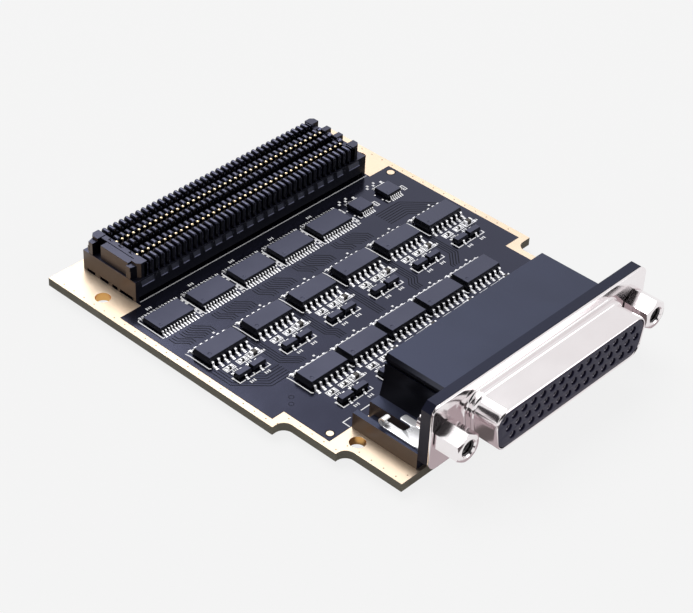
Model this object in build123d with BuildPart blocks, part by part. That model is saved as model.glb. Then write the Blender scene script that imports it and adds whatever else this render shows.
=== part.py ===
from build123d import *
from math import radians, tan
import os

os.makedirs("parts", exist_ok=True)

# Serial communication module: a stepped board with a mezzanine connector along its
# back edge, rows of driver chips and a high density port connector at its front.
# X runs along both connectors, the port faces -Y and the populated side is up.

# Circuit board, with its corners stepped in towards the front
board_width = 69.0
board_length = 76.5
board_thickness = 1.6
board_setback = 1.7
front_step_inset = 4.8
left_mid_inset = 2.6
right_mid_inset = 3.7
left_wide_start = 22.9
right_wide_start = 27.3
mid_start = 11.7
step_fillet = 1.8
step_round_share = 0.9
mount_hole_radius = 1.35
rear_hole_side_inset = 3.0
rear_hole_inset = 10.5
front_hole_side_inset = 2.2
front_hole_inset = 11.2
pin_hole_size = 0.75

# Solder mask, which leaves a bare plated border
mask_thickness = 0.05
mask_border = 1.4
mask_rear_inset = 16.6
mask_front_inset = 14.4
mask_end_inset = 2.6

# Mezzanine connector
mezzanine_inset = 8.7
mezzanine_offset = -0.2
mezzanine_end_step = 1.2
mezzanine_depth = 13.2
mezzanine_standoff = 0.35
mezzanine_base_top = 4.0
mezzanine_top = 6.9
upper_end_margin = 1.6
upper_depth = 12.2
contact_pitch = 1.27
contact_count = 40
ridge_pitch = 2.54
ridge_thickness = 1.2
ridge_count = 5
channel_floor = 3.6
notch_width = 0.72
notch_depth = 0.55
contact_row_drop = 0.6
contact_width = 0.4
contact_bow = 0.3
end_wall = 1.1
end_recess_width = 8.4
end_recess_depth = 0.8
end_recess_floor = 2.9
corner_chamfer = 0.6
foot_length = 2.2
foot_depth = 1.6
peg_width = 1.1
peg_spacing = 3.0
peg_wall_drop = 0.6

# Thin quad driver chips in the row beside the mezzanine connector
thin_chip_count = 5
thin_chip_pitch = 9.6
thin_chip_first = -27.4
thin_chip_gap = 13.6
thin_body_length = 7.8
thin_body_width = 4.4
thin_body_height = 1.0
thin_lead_span = 6.4
thin_lead_pitch = 0.65
thin_lead_count = 12
thin_lead_width = 0.27
thin_lead_shoulder = 0.55

# Two small chips at the right end of that row
small_chip_first = 19.2
small_chip_pitch = 7.4
small_body_length = 3.6
small_body_width = 3.4
small_body_height = 0.9
small_lead_span = 4.9
small_lead_pitch = 0.5
small_lead_count = 6
small_lead_width = 0.24
small_lead_shoulder = 0.5

# Wide-pitch driver chips in two rows
wide_body_length = 8.65
wide_body_width = 3.9
wide_body_height = 1.5
wide_lead_span = 6.0
wide_lead_pitch = 1.27
wide_lead_count = 7
wide_lead_width = 0.42
wide_lead_shoulder = 0.9
middle_row_count = 6
middle_row_pitch = 10.73
middle_row_first = -27.0
middle_row_gap = 25.5
front_row_count = 5
front_row_pitch = 9.55
front_row_first = -19.4
front_row_gap = 41.1

chip_standoff = 0.1
chip_draft = 7.0

# Small parts in front of each wide-pitch chip
transistor_length = 2.9
transistor_width = 1.3
transistor_height = 0.95
transistor_span = 2.4
transistor_lead_width = 0.42
transistor_lead_shoulder = 0.5
transistor_lead_pitch = 1.9
transistor_drop = 7.1
transistor_left = -1.9
transistor_pitch = 3.3
resistor_length = 1.0
resistor_width = 0.5
resistor_height = 0.35
resistor_drop = 4.4
resistor_left = -2.2
resistor_pitch = 2.9
capacitor_length = 1.6
capacitor_width = 0.8
capacitor_height = 0.6
capacitor_shift = 3.3

# Port connector
port_offset = 0.9
port_height = 7.0
flange_end = 3.0
flange_height = 12.5
flange_thickness = 2.4
flange_corner = 1.7
moulded_corner = 1.2
plate_thickness = 0.5
shell_end_margin = 2.5475
shell_height = 7.9
shell_corner = 2.6
shell_slope = 10.0
shell_wall = 0.4
shell_reach = 6.2
shell_bead = 0.4
shell_bead_reach = 1.4
insulator_clearance = 0.1
insulator_recess = 0.15
socket_pitch = 2.29
socket_row_pitch = 1.98
socket_counts = (15, 15, 14)
socket_radius = 0.66
socket_depth = 4.5
pin_size = 0.5
tail_reach = 1.0
first_tail_row = 5.6
tail_row_pitch = 2.5

# Moulded rear housing of the port connector
housing_depth = 15.9
housing_end_margin = 1.4475
housing_height = 10.9
housing_wall = 1.3
housing_chamfer = 0.5
plinth_step = 3.0
plinth_height = 3.1
flare = 0.8
flare_height = 6.2
groove_depth = 0.35
groove_width = 0.6
groove_drop = 1.1
rib_thickness = 1.1
arm_floor = 1.0
arm_floor_inset = 1.0

# Jackscrews and grounding brackets
jackscrew_flat = 4.75
jackscrew_reach = 4.9
jackscrew_bore_radius = 1.3
jackscrew_bore_depth = 4.4
jackscrew_shank_radius = 1.4
jackscrew_shank_length = 4.6
shank_sides = 8
jackscrew_chamfer = 0.35
shank_clearance = 0.1
bracket_width = 4.8
bracket_gap = 0.72
bracket_thickness = 0.4
bracket_foot = 8.9
bracket_leg_height = 9.4
bracket_narrow_width = 3.3
bracket_narrow_length = 3.3
bracket_slot_length = 3.4
bracket_slot_width = 1.5
bracket_slot_inset = 2.2
bracket_slot_corner = 0.5

# Places that follow from those sizes
half_width = board_width / 2
front_half_width = half_width - front_step_inset
left_mid_half_width = half_width - left_mid_inset
right_mid_half_width = half_width - right_mid_inset
board_bottom = tail_reach
board_top = board_bottom + board_thickness
mask_top = board_top + mask_thickness
flange_front = shell_reach - (shell_reach + board_setback + board_length) / 2
board_front = flange_front + board_setback
board_back = board_front + board_length
mezzanine_middle = board_back - mezzanine_inset
thin_row_y = mezzanine_middle - thin_chip_gap
middle_row_y = mezzanine_middle - middle_row_gap
front_row_y = mezzanine_middle - front_row_gap
upper_length = contact_pitch * contact_count + 2 * upper_end_margin
mezzanine_length = upper_length + 2 * mezzanine_end_step
port_axis = board_top + port_height
field_half_width = (socket_counts[0] - 0.5) / 2 * socket_pitch
shell_width = 2 * (field_half_width + shell_end_margin)
housing_half_width = field_half_width + pin_size / 2 + housing_end_margin + housing_wall
flare_half_width = housing_half_width + flare
plinth_half_width = housing_half_width + plinth_step
jackscrew_half_spacing = flare_half_width + bracket_gap + bracket_width / 2
flange_width = 2 * (jackscrew_half_spacing + flange_end)
flange_back = flange_front + flange_thickness
housing_back = flange_front + housing_depth
middle_row = [middle_row_first + middle_row_pitch * place for place in range(middle_row_count)]
front_row = [front_row_first + front_row_pitch * place for place in range(front_row_count)]
wide_chips = [(x, middle_row_y) for x in middle_row] + [(x, front_row_y) for x in front_row]


def write(part, name):
    part.label = name
    export_step(part, f"parts/{name}.step")


def socket_places(row):
    # Each lower row starts half a pitch further in, and the last one has a socket less
    first = port_offset - field_half_width
    return [first + socket_pitch * (place + row / 2) for place in range(socket_counts[row])]


def tail_row(row):
    # The top row of sockets drops to the board furthest back
    return flange_back + first_tail_row + tail_row_pitch * (len(socket_counts) - 1 - row)


def front_plane(y):
    # Sketches on this plane use the part's X and Z, and extrude towards the port's mouth
    return Plane(origin=(0, y, 0), x_dir=(1, 0, 0), z_dir=(0, -1, 0))


def shell_outline(grow, round_corners=True):
    # The keyed outline of the port, wide side up, grown all round
    half = shell_width / 2 + grow
    rise = shell_height / 2 + grow
    lean = 2 * rise * tan(radians(shell_slope))
    with Locations((port_offset, port_axis)):
        Polygon((-half, rise), (-half + lean, -rise), (half - lean, -rise), (half, rise), align=None)
    if round_corners:
        fillet(vertices(Select.LAST), shell_corner + grow)


with BuildPart() as circuit_board:
    with BuildSketch(Plane.XY.offset(board_bottom)) as board_outline:
        with BuildLine():
            Polyline(
                (-half_width, board_back),
                (-half_width, board_front + left_wide_start),
                (-left_mid_half_width, board_front + left_wide_start),
                (-left_mid_half_width, board_front + mid_start),
                (-front_half_width, board_front + mid_start),
                (-front_half_width, board_front),
                (front_half_width, board_front),
                (front_half_width, board_front + mid_start),
                (right_mid_half_width, board_front + mid_start),
                (right_mid_half_width, board_front + right_wide_start),
                (half_width, board_front + right_wide_start),
                (half_width, board_back),
                close=True,
            )
        make_face()
        # Each step's inner corner is rounded, within the step's own depth
        for x, y, step in (
            (-left_mid_half_width, board_front + left_wide_start, left_mid_inset),
            (right_mid_half_width, board_front + right_wide_start, right_mid_inset),
            (-front_half_width, board_front + mid_start, front_step_inset - left_mid_inset),
            (front_half_width, board_front + mid_start, front_step_inset - right_mid_inset),
        ):
            corner = board_outline.vertices().sort_by_distance((x, y, board_bottom))[0]
            fillet(corner, min(step_fillet, step_round_share * step))
        rear_hole_x = half_width - rear_hole_side_inset
        rear_hole_y = board_back - rear_hole_inset
        front_hole_x = front_half_width - front_hole_side_inset
        front_hole_y = board_front + front_hole_inset
        with Locations((-rear_hole_x, rear_hole_y), (rear_hole_x, rear_hole_y), (-front_hole_x, front_hole_y)):
            Circle(mount_hole_radius, mode=Mode.SUBTRACT)
        with Locations([(x, tail_row(row)) for row in range(len(socket_counts)) for x in socket_places(row)]):
            Rectangle(pin_hole_size, pin_hole_size, mode=Mode.SUBTRACT)
    extrude(amount=board_thickness)
write(circuit_board.part, "circuit_board")


with BuildPart() as solder_mask:
    with BuildSketch(Plane.XY.offset(board_top)):
        rear_edge = board_back - mask_rear_inset
        front_edge = board_front + mask_front_inset
        under_half = mezzanine_length / 2
        with BuildLine():
            Polyline(
                (mezzanine_offset - under_half, board_back - mask_end_inset),
                (mezzanine_offset - under_half, rear_edge),
                (mask_border - half_width, rear_edge),
                (mask_border - half_width, board_front + left_wide_start + mask_border),
                (mask_border - left_mid_half_width, board_front + left_wide_start + mask_border),
                (mask_border - left_mid_half_width, front_edge),
                (right_mid_half_width - mask_border, front_edge),
                (right_mid_half_width - mask_border, board_front + right_wide_start + mask_border),
                (half_width - mask_border, board_front + right_wide_start + mask_border),
                (half_width - mask_border, rear_edge),
                (mezzanine_offset + under_half, rear_edge),
                (mezzanine_offset + under_half, board_back - mask_end_inset),
                close=True,
            )
        make_face()
    extrude(amount=mask_thickness)
write(solder_mask.part, "solder_mask")


base_bottom = mask_top + mezzanine_standoff
base_top = board_top + mezzanine_base_top
upper_top = board_top + mezzanine_top
floor_level = board_top + channel_floor
channel_width = ridge_pitch - ridge_thickness
ridge_middles = [mezzanine_middle + ridge_pitch * (place - (ridge_count - 1) / 2) for place in range(ridge_count)]

with BuildPart() as mezzanine_housing:
    with BuildSketch(Plane.XY.offset(base_bottom)):
        with Locations((mezzanine_offset, mezzanine_middle)):
            Rectangle(mezzanine_length, mezzanine_depth)
    extrude(amount=base_top - base_bottom)
    with BuildSketch(Plane.XY.offset(base_top)) as upper_outline:
        with Locations((mezzanine_offset, mezzanine_middle)):
            Rectangle(upper_length, upper_depth)
        chamfer(upper_outline.vertices(), corner_chamfer)
    extrude(amount=upper_top - base_top)
    with BuildSketch(Plane.XY.offset(floor_level)):
        with Locations((mezzanine_offset, mezzanine_middle)):
            with GridLocations(0, ridge_pitch, 1, ridge_count - 1):
                Rectangle(upper_length - 2 * (end_wall + end_recess_depth), channel_width)
    extrude(amount=upper_top - floor_level, mode=Mode.SUBTRACT)
    # The outer ridges have a notch at every contact, all the way through
    for middle in (ridge_middles[0], ridge_middles[-1]):
        with BuildSketch(front_plane(middle)):
            with Locations((mezzanine_offset, upper_top)):
                with GridLocations(contact_pitch, 0, contact_count, 1):
                    Polygon(
                        (-notch_width / 2, 0),
                        (0, -notch_depth),
                        (notch_width / 2, 0),
                        align=None,
                    )
        extrude(amount=ridge_pitch / 2, both=True, mode=Mode.SUBTRACT)
    with BuildSketch(Plane.XY.offset(board_top + end_recess_floor)):
        with Locations((mezzanine_offset - upper_length / 2, mezzanine_middle)):
            Rectangle(2 * end_recess_depth, end_recess_width)
    extrude(amount=mezzanine_top - end_recess_floor, mode=Mode.SUBTRACT)
    # The right end has a lower wall, which two polarising pegs stand above
    with BuildSketch(Plane.XY.offset(upper_top - peg_wall_drop)):
        with Locations((mezzanine_offset + (upper_length - end_wall) / 2, mezzanine_middle)):
            Rectangle(end_wall, end_recess_width)
            with GridLocations(0, peg_spacing, 1, 2):
                Rectangle(end_wall, peg_width, mode=Mode.SUBTRACT)
    extrude(amount=peg_wall_drop, mode=Mode.SUBTRACT)
    with BuildSketch(Plane.XY.offset(mask_top)):
        with Locations((mezzanine_offset, mezzanine_middle)):
            with GridLocations(mezzanine_length - foot_length, mezzanine_depth - foot_depth, 2, 2):
                Rectangle(foot_length, foot_depth)
    extrude(amount=mezzanine_standoff)
write(mezzanine_housing.part, "mezzanine_housing")


contact_tip = upper_top - contact_row_drop
contact_faces = [(ridge_middles[place], side) for place in range(1, ridge_count, 2) for side in (-1, 1)]
for row, (middle, side) in enumerate(contact_faces, start=1):
    ridge_face = middle + side * ridge_thickness / 2
    with BuildPart() as contacts:
        with BuildSketch(Plane.YZ.offset(mezzanine_offset - contact_width / 2)):
            Polygon(
                (ridge_face, floor_level),
                (ridge_face + side * contact_bow, contact_tip),
                (ridge_face, contact_tip),
                align=None,
            )
        beam = extrude(amount=contact_width, mode=Mode.PRIVATE)
        with GridLocations(contact_pitch, 0, contact_count, 1):
            add(beam)
    write(contacts.part, f"mezzanine_contacts_{row}")


def chip_body(x, y, length, width, height):
    with BuildPart() as body:
        with BuildSketch(Plane.XY.offset(mask_top + chip_standoff)):
            with Locations((x, y)):
                Rectangle(length, width)
        extrude(amount=height, taper=chip_draft)
    return body.part


def wedge_leads(places, y, body_width, span, shoulder, lead_width, sides):
    # Leads that slope from the middle of the body's side down to their feet
    with BuildPart() as leads:
        for side in sides:
            with BuildSketch(Plane.YZ.offset(-lead_width / 2)):
                Polygon(
                    (y + side * body_width / 2, mask_top),
                    (y + side * span / 2, mask_top),
                    (y + side * body_width / 2, mask_top + shoulder),
                    align=None,
                )
            lead = extrude(amount=lead_width, mode=Mode.PRIVATE)
            with Locations([(x, 0) for x in places]):
                add(lead)
    return leads.part


def centred(middle, pitch, count):
    return [middle + pitch * (place - (count - 1) / 2) for place in range(count)]


for number in range(thin_chip_count):
    x = thin_chip_first + thin_chip_pitch * number
    body = chip_body(x, thin_row_y, thin_body_length, thin_body_width, thin_body_height)
    write(body, f"thin_driver_body_{number + 1}")
    places = centred(x, thin_lead_pitch, thin_lead_count)
    leads = wedge_leads(
        places, thin_row_y, thin_body_width, thin_lead_span, thin_lead_shoulder, thin_lead_width, (-1, 1)
    )
    write(leads, f"thin_driver_leads_{number + 1}")


for number in range(2):
    x = small_chip_first + small_chip_pitch * number
    body = chip_body(x, thin_row_y, small_body_length, small_body_width, small_body_height)
    write(body, f"small_chip_body_{number + 1}")
    places = centred(x, small_lead_pitch, small_lead_count)
    leads = wedge_leads(
        places, thin_row_y, small_body_width, small_lead_span, small_lead_shoulder, small_lead_width, (-1, 1)
    )
    write(leads, f"small_chip_leads_{number + 1}")


for number, (x, y) in enumerate(wide_chips, start=1):
    body = chip_body(x, y, wide_body_length, wide_body_width, wide_body_height)
    write(body, f"line_driver_body_{number}")
    places = centred(x, wide_lead_pitch, wide_lead_count)
    leads = wedge_leads(places, y, wide_body_width, wide_lead_span, wide_lead_shoulder, wide_lead_width, (-1, 1))
    write(leads, f"line_driver_leads_{number}")


transistors = [
    (x + transistor_left + transistor_pitch * place, y - transistor_drop)
    for x, y in wide_chips
    for place in range(2)
]
with BuildPart() as transistor_bodies:
    with BuildSketch(Plane.XY.offset(mask_top + chip_standoff)):
        with Locations(transistors):
            Rectangle(transistor_length, transistor_width)
    extrude(amount=transistor_height)
write(transistor_bodies.part, "transistor_bodies")

with BuildPart() as transistor_leads:
    for x, y in transistors:
        add(
            wedge_leads(
                [x],
                y,
                transistor_width,
                transistor_span,
                transistor_lead_shoulder,
                transistor_lead_width,
                (-1,),
            )
        )
        add(
            wedge_leads(
                [x - transistor_lead_pitch / 2, x + transistor_lead_pitch / 2],
                y,
                transistor_width,
                transistor_span,
                transistor_lead_shoulder,
                transistor_lead_width,
                (1,),
            )
        )
write(transistor_leads.part, "transistor_leads")

resistors = [
    (x + resistor_left + resistor_pitch * place, y - resistor_drop) for x, y in wide_chips for place in range(2)
]
with BuildPart() as chip_resistors:
    with BuildSketch(Plane.XY.offset(mask_top)):
        with Locations(resistors):
            Rectangle(resistor_length, resistor_width)
    extrude(amount=resistor_height)
write(chip_resistors.part, "chip_resistors")

with BuildPart() as chip_capacitors:
    with BuildSketch(Plane.XY.offset(mask_top)):
        with Locations([(x + capacitor_shift, y - resistor_drop) for x, y in wide_chips]):
            Rectangle(capacitor_length, capacitor_width)
    extrude(amount=capacitor_height)
write(chip_capacitors.part, "chip_capacitors")


# The hidden shank and its holes have flats, and the holes stand clear of it
shank_hole_flat = jackscrew_shank_radius + shank_clearance
jackscrew_places = [(port_offset + side * jackscrew_half_spacing, port_axis) for side in (-1, 1)]

with BuildPart() as rear_housing:
    # Moulded flange behind the metal plate, open for the insulator and the jackscrews
    with BuildSketch(front_plane(flange_back)) as moulded_flange:
        with Locations((port_offset, port_axis)):
            Rectangle(flange_width, flange_height)
        chamfer(moulded_flange.vertices(), moulded_corner)
    extrude(amount=flange_thickness - plate_thickness)
    # Body, flared to a plinth at the board, with a groove under its top plate
    groove_top = housing_height - groove_drop
    with BuildSketch(front_plane(housing_back)):
        with BuildLine():
            right_side = [
                (plinth_half_width, 0),
                (plinth_half_width, plinth_height),
                (flare_half_width, plinth_height),
                (housing_half_width, flare_height),
                (housing_half_width, groove_top - groove_width),
                (housing_half_width - groove_depth, groove_top - groove_width),
                (housing_half_width - groove_depth, groove_top),
                (housing_half_width, groove_top),
                (housing_half_width, housing_height - housing_chamfer),
                (housing_half_width - housing_chamfer, housing_height),
            ]
            left_side = [(-x, z) for x, z in reversed(right_side)]
            Polyline(
                *[(port_offset + x, board_top + z) for x, z in right_side + left_side],
                close=True,
            )
        make_face()
    extrude(amount=housing_depth - flange_thickness)
    # Side ribs on a low floor, which carry the grounding brackets
    with BuildSketch(Plane.XY.offset(board_top)):
        for side in (-1, 1):
            rib_middle = port_offset + side * (flange_width - rib_thickness) / 2
            with Locations((rib_middle, (flange_back + housing_back) / 2)):
                Rectangle(rib_thickness, housing_back - flange_back)
    extrude(amount=plinth_height)
    with BuildSketch(Plane.XY.offset(board_top)):
        for side in (-1, 1):
            floor_middle = port_offset + side * (flange_width / 2 + plinth_half_width) / 2
            floor_length = housing_back - flange_back - arm_floor_inset
            with Locations((floor_middle, flange_back + floor_length / 2)):
                Rectangle(flange_width / 2 - plinth_half_width, floor_length)
    extrude(amount=arm_floor)
    # Cavity for the pins, open at the board
    with BuildSketch(Plane.XY.offset(board_top)):
        with Locations((port_offset, (flange_back + housing_back - housing_wall) / 2)):
            Rectangle(
                2 * (housing_half_width - housing_wall),
                housing_back - housing_wall - flange_back,
            )
    extrude(amount=housing_height - housing_wall, mode=Mode.SUBTRACT)
    with BuildSketch(front_plane(flange_back)):
        shell_outline(-shell_wall, round_corners=False)
        with Locations(*jackscrew_places):
            RegularPolygon(shank_hole_flat, side_count=6, major_radius=False)
    extrude(amount=flange_thickness, mode=Mode.SUBTRACT)
write(rear_housing.part, "rear_housing")


with BuildPart() as front_shell:
    with BuildSketch(front_plane(flange_front + plate_thickness)) as plate_outline:
        with Locations((port_offset, port_axis)):
            Rectangle(flange_width, flange_height)
        fillet(plate_outline.vertices(), flange_corner)
        with Locations(*jackscrew_places):
            RegularPolygon(shank_hole_flat, side_count=6, major_radius=False, mode=Mode.SUBTRACT)
    extrude(amount=plate_thickness)
    with BuildSketch(front_plane(flange_front)):
        shell_outline(0)
    extrude(amount=shell_reach)
    with BuildSketch(front_plane(flange_front)):
        shell_outline(shell_bead)
    extrude(amount=shell_bead_reach)
    with BuildSketch(front_plane(flange_front + plate_thickness)):
        shell_outline(-shell_wall)
    extrude(amount=plate_thickness + shell_reach, mode=Mode.SUBTRACT)
write(front_shell.part, "front_shell")


insulator_front = flange_front - shell_reach + insulator_recess
sockets = [
    (x, port_axis + socket_row_pitch * (1 - row)) for row in range(len(socket_counts)) for x in socket_places(row)
]
with BuildPart() as socket_insulator:
    with BuildSketch(front_plane(flange_back)):
        shell_outline(-shell_wall - insulator_clearance)
    extrude(amount=flange_back - insulator_front)
    with BuildSketch(front_plane(insulator_front + socket_depth)):
        with Locations(*sockets):
            RegularPolygon(socket_radius, side_count=6)
    extrude(amount=socket_depth, mode=Mode.SUBTRACT)
write(socket_insulator.part, "socket_insulator")


with BuildPart() as socket_pins:
    for row in range(len(socket_counts)):
        drop = tail_row(row)
        level = port_axis + socket_row_pitch * (1 - row)
        places = socket_places(row)
        with BuildSketch(Plane.YZ.offset(-pin_size / 2)):
            Polygon(
                (flange_back, level + pin_size / 2),
                (drop + pin_size / 2, level + pin_size / 2),
                (drop + pin_size / 2, 0),
                (drop - pin_size / 2, 0),
                (drop - pin_size / 2, level - pin_size / 2),
                (flange_back, level - pin_size / 2),
                align=None,
            )
        pin = extrude(amount=pin_size, mode=Mode.PRIVATE)
        with Locations([(x, 0) for x in places]):
            add(pin)
write(socket_pins.part, "socket_pins")


for side, name in ((-1, "left"), (1, "right")):
    screw_x = port_offset + side * jackscrew_half_spacing
    with BuildPart() as jackscrew:
        with BuildSketch(front_plane(flange_front)):
            with Locations((screw_x, port_axis)):
                RegularPolygon(jackscrew_flat / 2, side_count=6, major_radius=False, rotation=30)
        extrude(amount=jackscrew_reach)
        chamfer(jackscrew.faces().sort_by(Axis.Y)[0].edges(), jackscrew_chamfer)
        with BuildSketch(front_plane(flange_front + jackscrew_shank_length)):
            with Locations((screw_x, port_axis)):
                RegularPolygon(jackscrew_shank_radius, side_count=shank_sides)
        extrude(amount=jackscrew_shank_length)
        with BuildSketch(front_plane(flange_front - jackscrew_reach + jackscrew_bore_depth)):
            with Locations((screw_x, port_axis)):
                Circle(jackscrew_bore_radius)
        extrude(amount=jackscrew_bore_depth, mode=Mode.SUBTRACT)
    write(jackscrew.part, f"jackscrew_{name}")

    foot_level = board_top + plinth_height
    with BuildPart() as bracket:
        with BuildSketch(Plane.YZ.offset(screw_x)):
            with BuildLine():
                Polyline(
                    (flange_back, foot_level),
                    (flange_back + bracket_foot, foot_level),
                    (flange_back + bracket_foot, foot_level + bracket_thickness),
                    (flange_back + bracket_thickness, foot_level + bracket_thickness),
                    (flange_back + bracket_thickness, board_top + bracket_leg_height),
                    (flange_back, board_top + bracket_leg_height),
                    close=True,
                )
            make_face()
        extrude(amount=bracket_width / 2, both=True)
        foot_end = flange_back + bracket_foot
        # The foot is narrower at its end, on the outer side
        with BuildSketch(Plane.XY.offset(foot_level)):
            trim = bracket_width - bracket_narrow_width
            with Locations((screw_x + side * (bracket_width - trim) / 2, foot_end - bracket_narrow_length / 2)):
                Rectangle(trim, bracket_narrow_length)
            with Locations((screw_x, foot_end - bracket_slot_inset)):
                Rectangle(bracket_slot_width, bracket_slot_length)
            chamfer(vertices(Select.LAST), bracket_slot_corner)
        extrude(amount=bracket_thickness, mode=Mode.SUBTRACT)
        with BuildSketch(front_plane(flange_back + bracket_thickness)):
            with Locations((screw_x, port_axis)):
                RegularPolygon(shank_hole_flat, side_count=6, major_radius=False)
        extrude(amount=bracket_thickness, mode=Mode.SUBTRACT)
    write(bracket.part, f"ground_bracket_{name}")
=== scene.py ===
import math

import bmesh
import bpy
from mathutils import Matrix, Vector


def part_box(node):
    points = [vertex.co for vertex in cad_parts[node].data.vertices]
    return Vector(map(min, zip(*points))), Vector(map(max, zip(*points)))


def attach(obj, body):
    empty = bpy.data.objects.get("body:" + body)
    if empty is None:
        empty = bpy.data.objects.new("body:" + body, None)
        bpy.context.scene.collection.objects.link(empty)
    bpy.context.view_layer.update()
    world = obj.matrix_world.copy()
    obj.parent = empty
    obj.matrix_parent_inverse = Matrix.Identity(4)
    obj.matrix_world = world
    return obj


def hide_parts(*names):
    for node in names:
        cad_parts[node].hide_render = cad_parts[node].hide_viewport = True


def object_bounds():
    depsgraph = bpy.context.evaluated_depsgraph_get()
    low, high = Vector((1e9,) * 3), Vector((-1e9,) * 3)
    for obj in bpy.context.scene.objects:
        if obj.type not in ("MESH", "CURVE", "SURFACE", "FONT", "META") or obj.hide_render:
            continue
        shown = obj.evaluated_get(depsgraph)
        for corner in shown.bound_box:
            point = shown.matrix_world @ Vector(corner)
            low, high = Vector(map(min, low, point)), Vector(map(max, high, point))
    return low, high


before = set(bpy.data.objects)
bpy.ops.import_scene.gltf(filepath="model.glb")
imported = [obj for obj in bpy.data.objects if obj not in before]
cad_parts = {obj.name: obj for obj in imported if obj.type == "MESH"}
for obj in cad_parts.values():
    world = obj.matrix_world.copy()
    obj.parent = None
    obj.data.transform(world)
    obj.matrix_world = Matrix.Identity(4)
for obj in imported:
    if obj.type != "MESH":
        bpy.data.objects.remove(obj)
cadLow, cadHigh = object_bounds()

mm = 0.001
print("frame loaded,", len(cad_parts), "nodes")


# Sizes, and places that the whole scene shares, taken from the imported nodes

def inMm(**sizes):
    return {name: size * mm for name, size in sizes.items()}


def centreOf(node):
    low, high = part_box(node)
    return (low + high) / 2


def evenRow(middle, count, pitch):
    return [middle + (k - (count - 1) / 2) * pitch for k in range(count)]


boardLow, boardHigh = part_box("circuit_board")
boardTop = boardHigh.z
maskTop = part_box("solder_mask")[1].z


# Materials

def newGroup(name, inputs, outputs):
    # Inputs by name and first value, outputs by name and kind
    group = bpy.data.node_groups.new(name, "ShaderNodeTree")
    for label, value in inputs.items():
        kind = "NodeSocketFloat" if isinstance(value, float) else "NodeSocketColor"
        group.interface.new_socket(label, in_out="INPUT", socket_type=kind).default_value = value
    for label, kind in outputs.items():
        group.interface.new_socket(label, in_out="OUTPUT", socket_type=kind)
    return group, group.nodes.new("NodeGroupInput"), group.nodes.new("NodeGroupOutput")


def newMaterial(name):
    material = bpy.data.materials.new(name)
    material.use_nodes = True
    return material, material.node_tree, material.node_tree.nodes["Principled BSDF"]


def addNode(tree, kind, values=None, feeds=None, **settings):
    # A node with its settings, its sockets' values and the outputs that feed its inputs
    node = tree.nodes.new("ShaderNode" + kind)
    for label, value in settings.items():
        setattr(node, label, value)
    for label, value in (values or {}).items():
        node.inputs[label].default_value = value
    for label, source in (feeds or {}).items():
        tree.links.new(source, node.inputs[label])
    return node


def buildGrainGroup():
    # Fine moulded or etched grain: a height for the bump and a value for the roughness
    group, start, end = newGroup("fineGrain", {"Scale": 4000.0, "Low": 0.3, "High": 0.5},
                                 {"Height": "NodeSocketFloat", "Roughness": "NodeSocketFloat"})
    place = addNode(group, "TexCoord").outputs["Object"]
    fine = addNode(group, "TexNoise", {"Detail": 3.0}, {"Vector": place, "Scale": start.outputs["Scale"]})
    wide = addNode(group, "TexNoise", {"Scale": 180.0, "Detail": 5.0}, {"Vector": place})
    spread = addNode(group, "MapRange", {"From Min": 0.3, "From Max": 0.7}, {
        "Value": wide.outputs["Fac"], "To Min": start.outputs["Low"], "To Max": start.outputs["High"],
    })
    group.links.new(fine.outputs["Fac"], end.inputs["Height"])
    group.links.new(spread.outputs["Result"], end.inputs["Roughness"])
    return group


def buildTintGroup():
    # A slow drift between two close colours, as plating and moulding have
    colours = {"First": (0.5, 0.5, 0.5, 1), "Second": (0.4, 0.4, 0.4, 1)}
    group, start, end = newGroup("slowTint", {**colours, "Scale": 60.0}, {"Color": "NodeSocketColor"})
    place = addNode(group, "TexCoord").outputs["Object"]
    noise = addNode(group, "TexNoise", {"Detail": 4.0}, {"Vector": place, "Scale": start.outputs["Scale"]})
    ramp = addNode(group, "MapRange", {"From Min": 0.35, "From Max": 0.65}, {"Value": noise.outputs["Fac"]})
    mix = addNode(group, "Mix", feeds={
        "Factor": ramp.outputs["Result"], "A": start.outputs["First"], "B": start.outputs["Second"],
    }, data_type="RGBA")
    group.links.new(mix.outputs["Result"], end.inputs["Color"])
    return group


grainGroup = buildGrainGroup()
tintGroup = buildTintGroup()


def metal(first, second, metallic, rough, grain, bump):
    return {"colours": (first, second), "metallic": metallic, "rough": rough, "grain": grain, "bump": bump,
            "specular": 0.5, "tint": (1, 1, 1)}


def plastic(first, second, rough, grain, bump, specular=0.5, tint=(1, 1, 1)):
    return {"colours": (first, second), "metallic": 0.0, "rough": rough, "grain": grain, "bump": bump,
            "specular": specular, "tint": tint}


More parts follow.
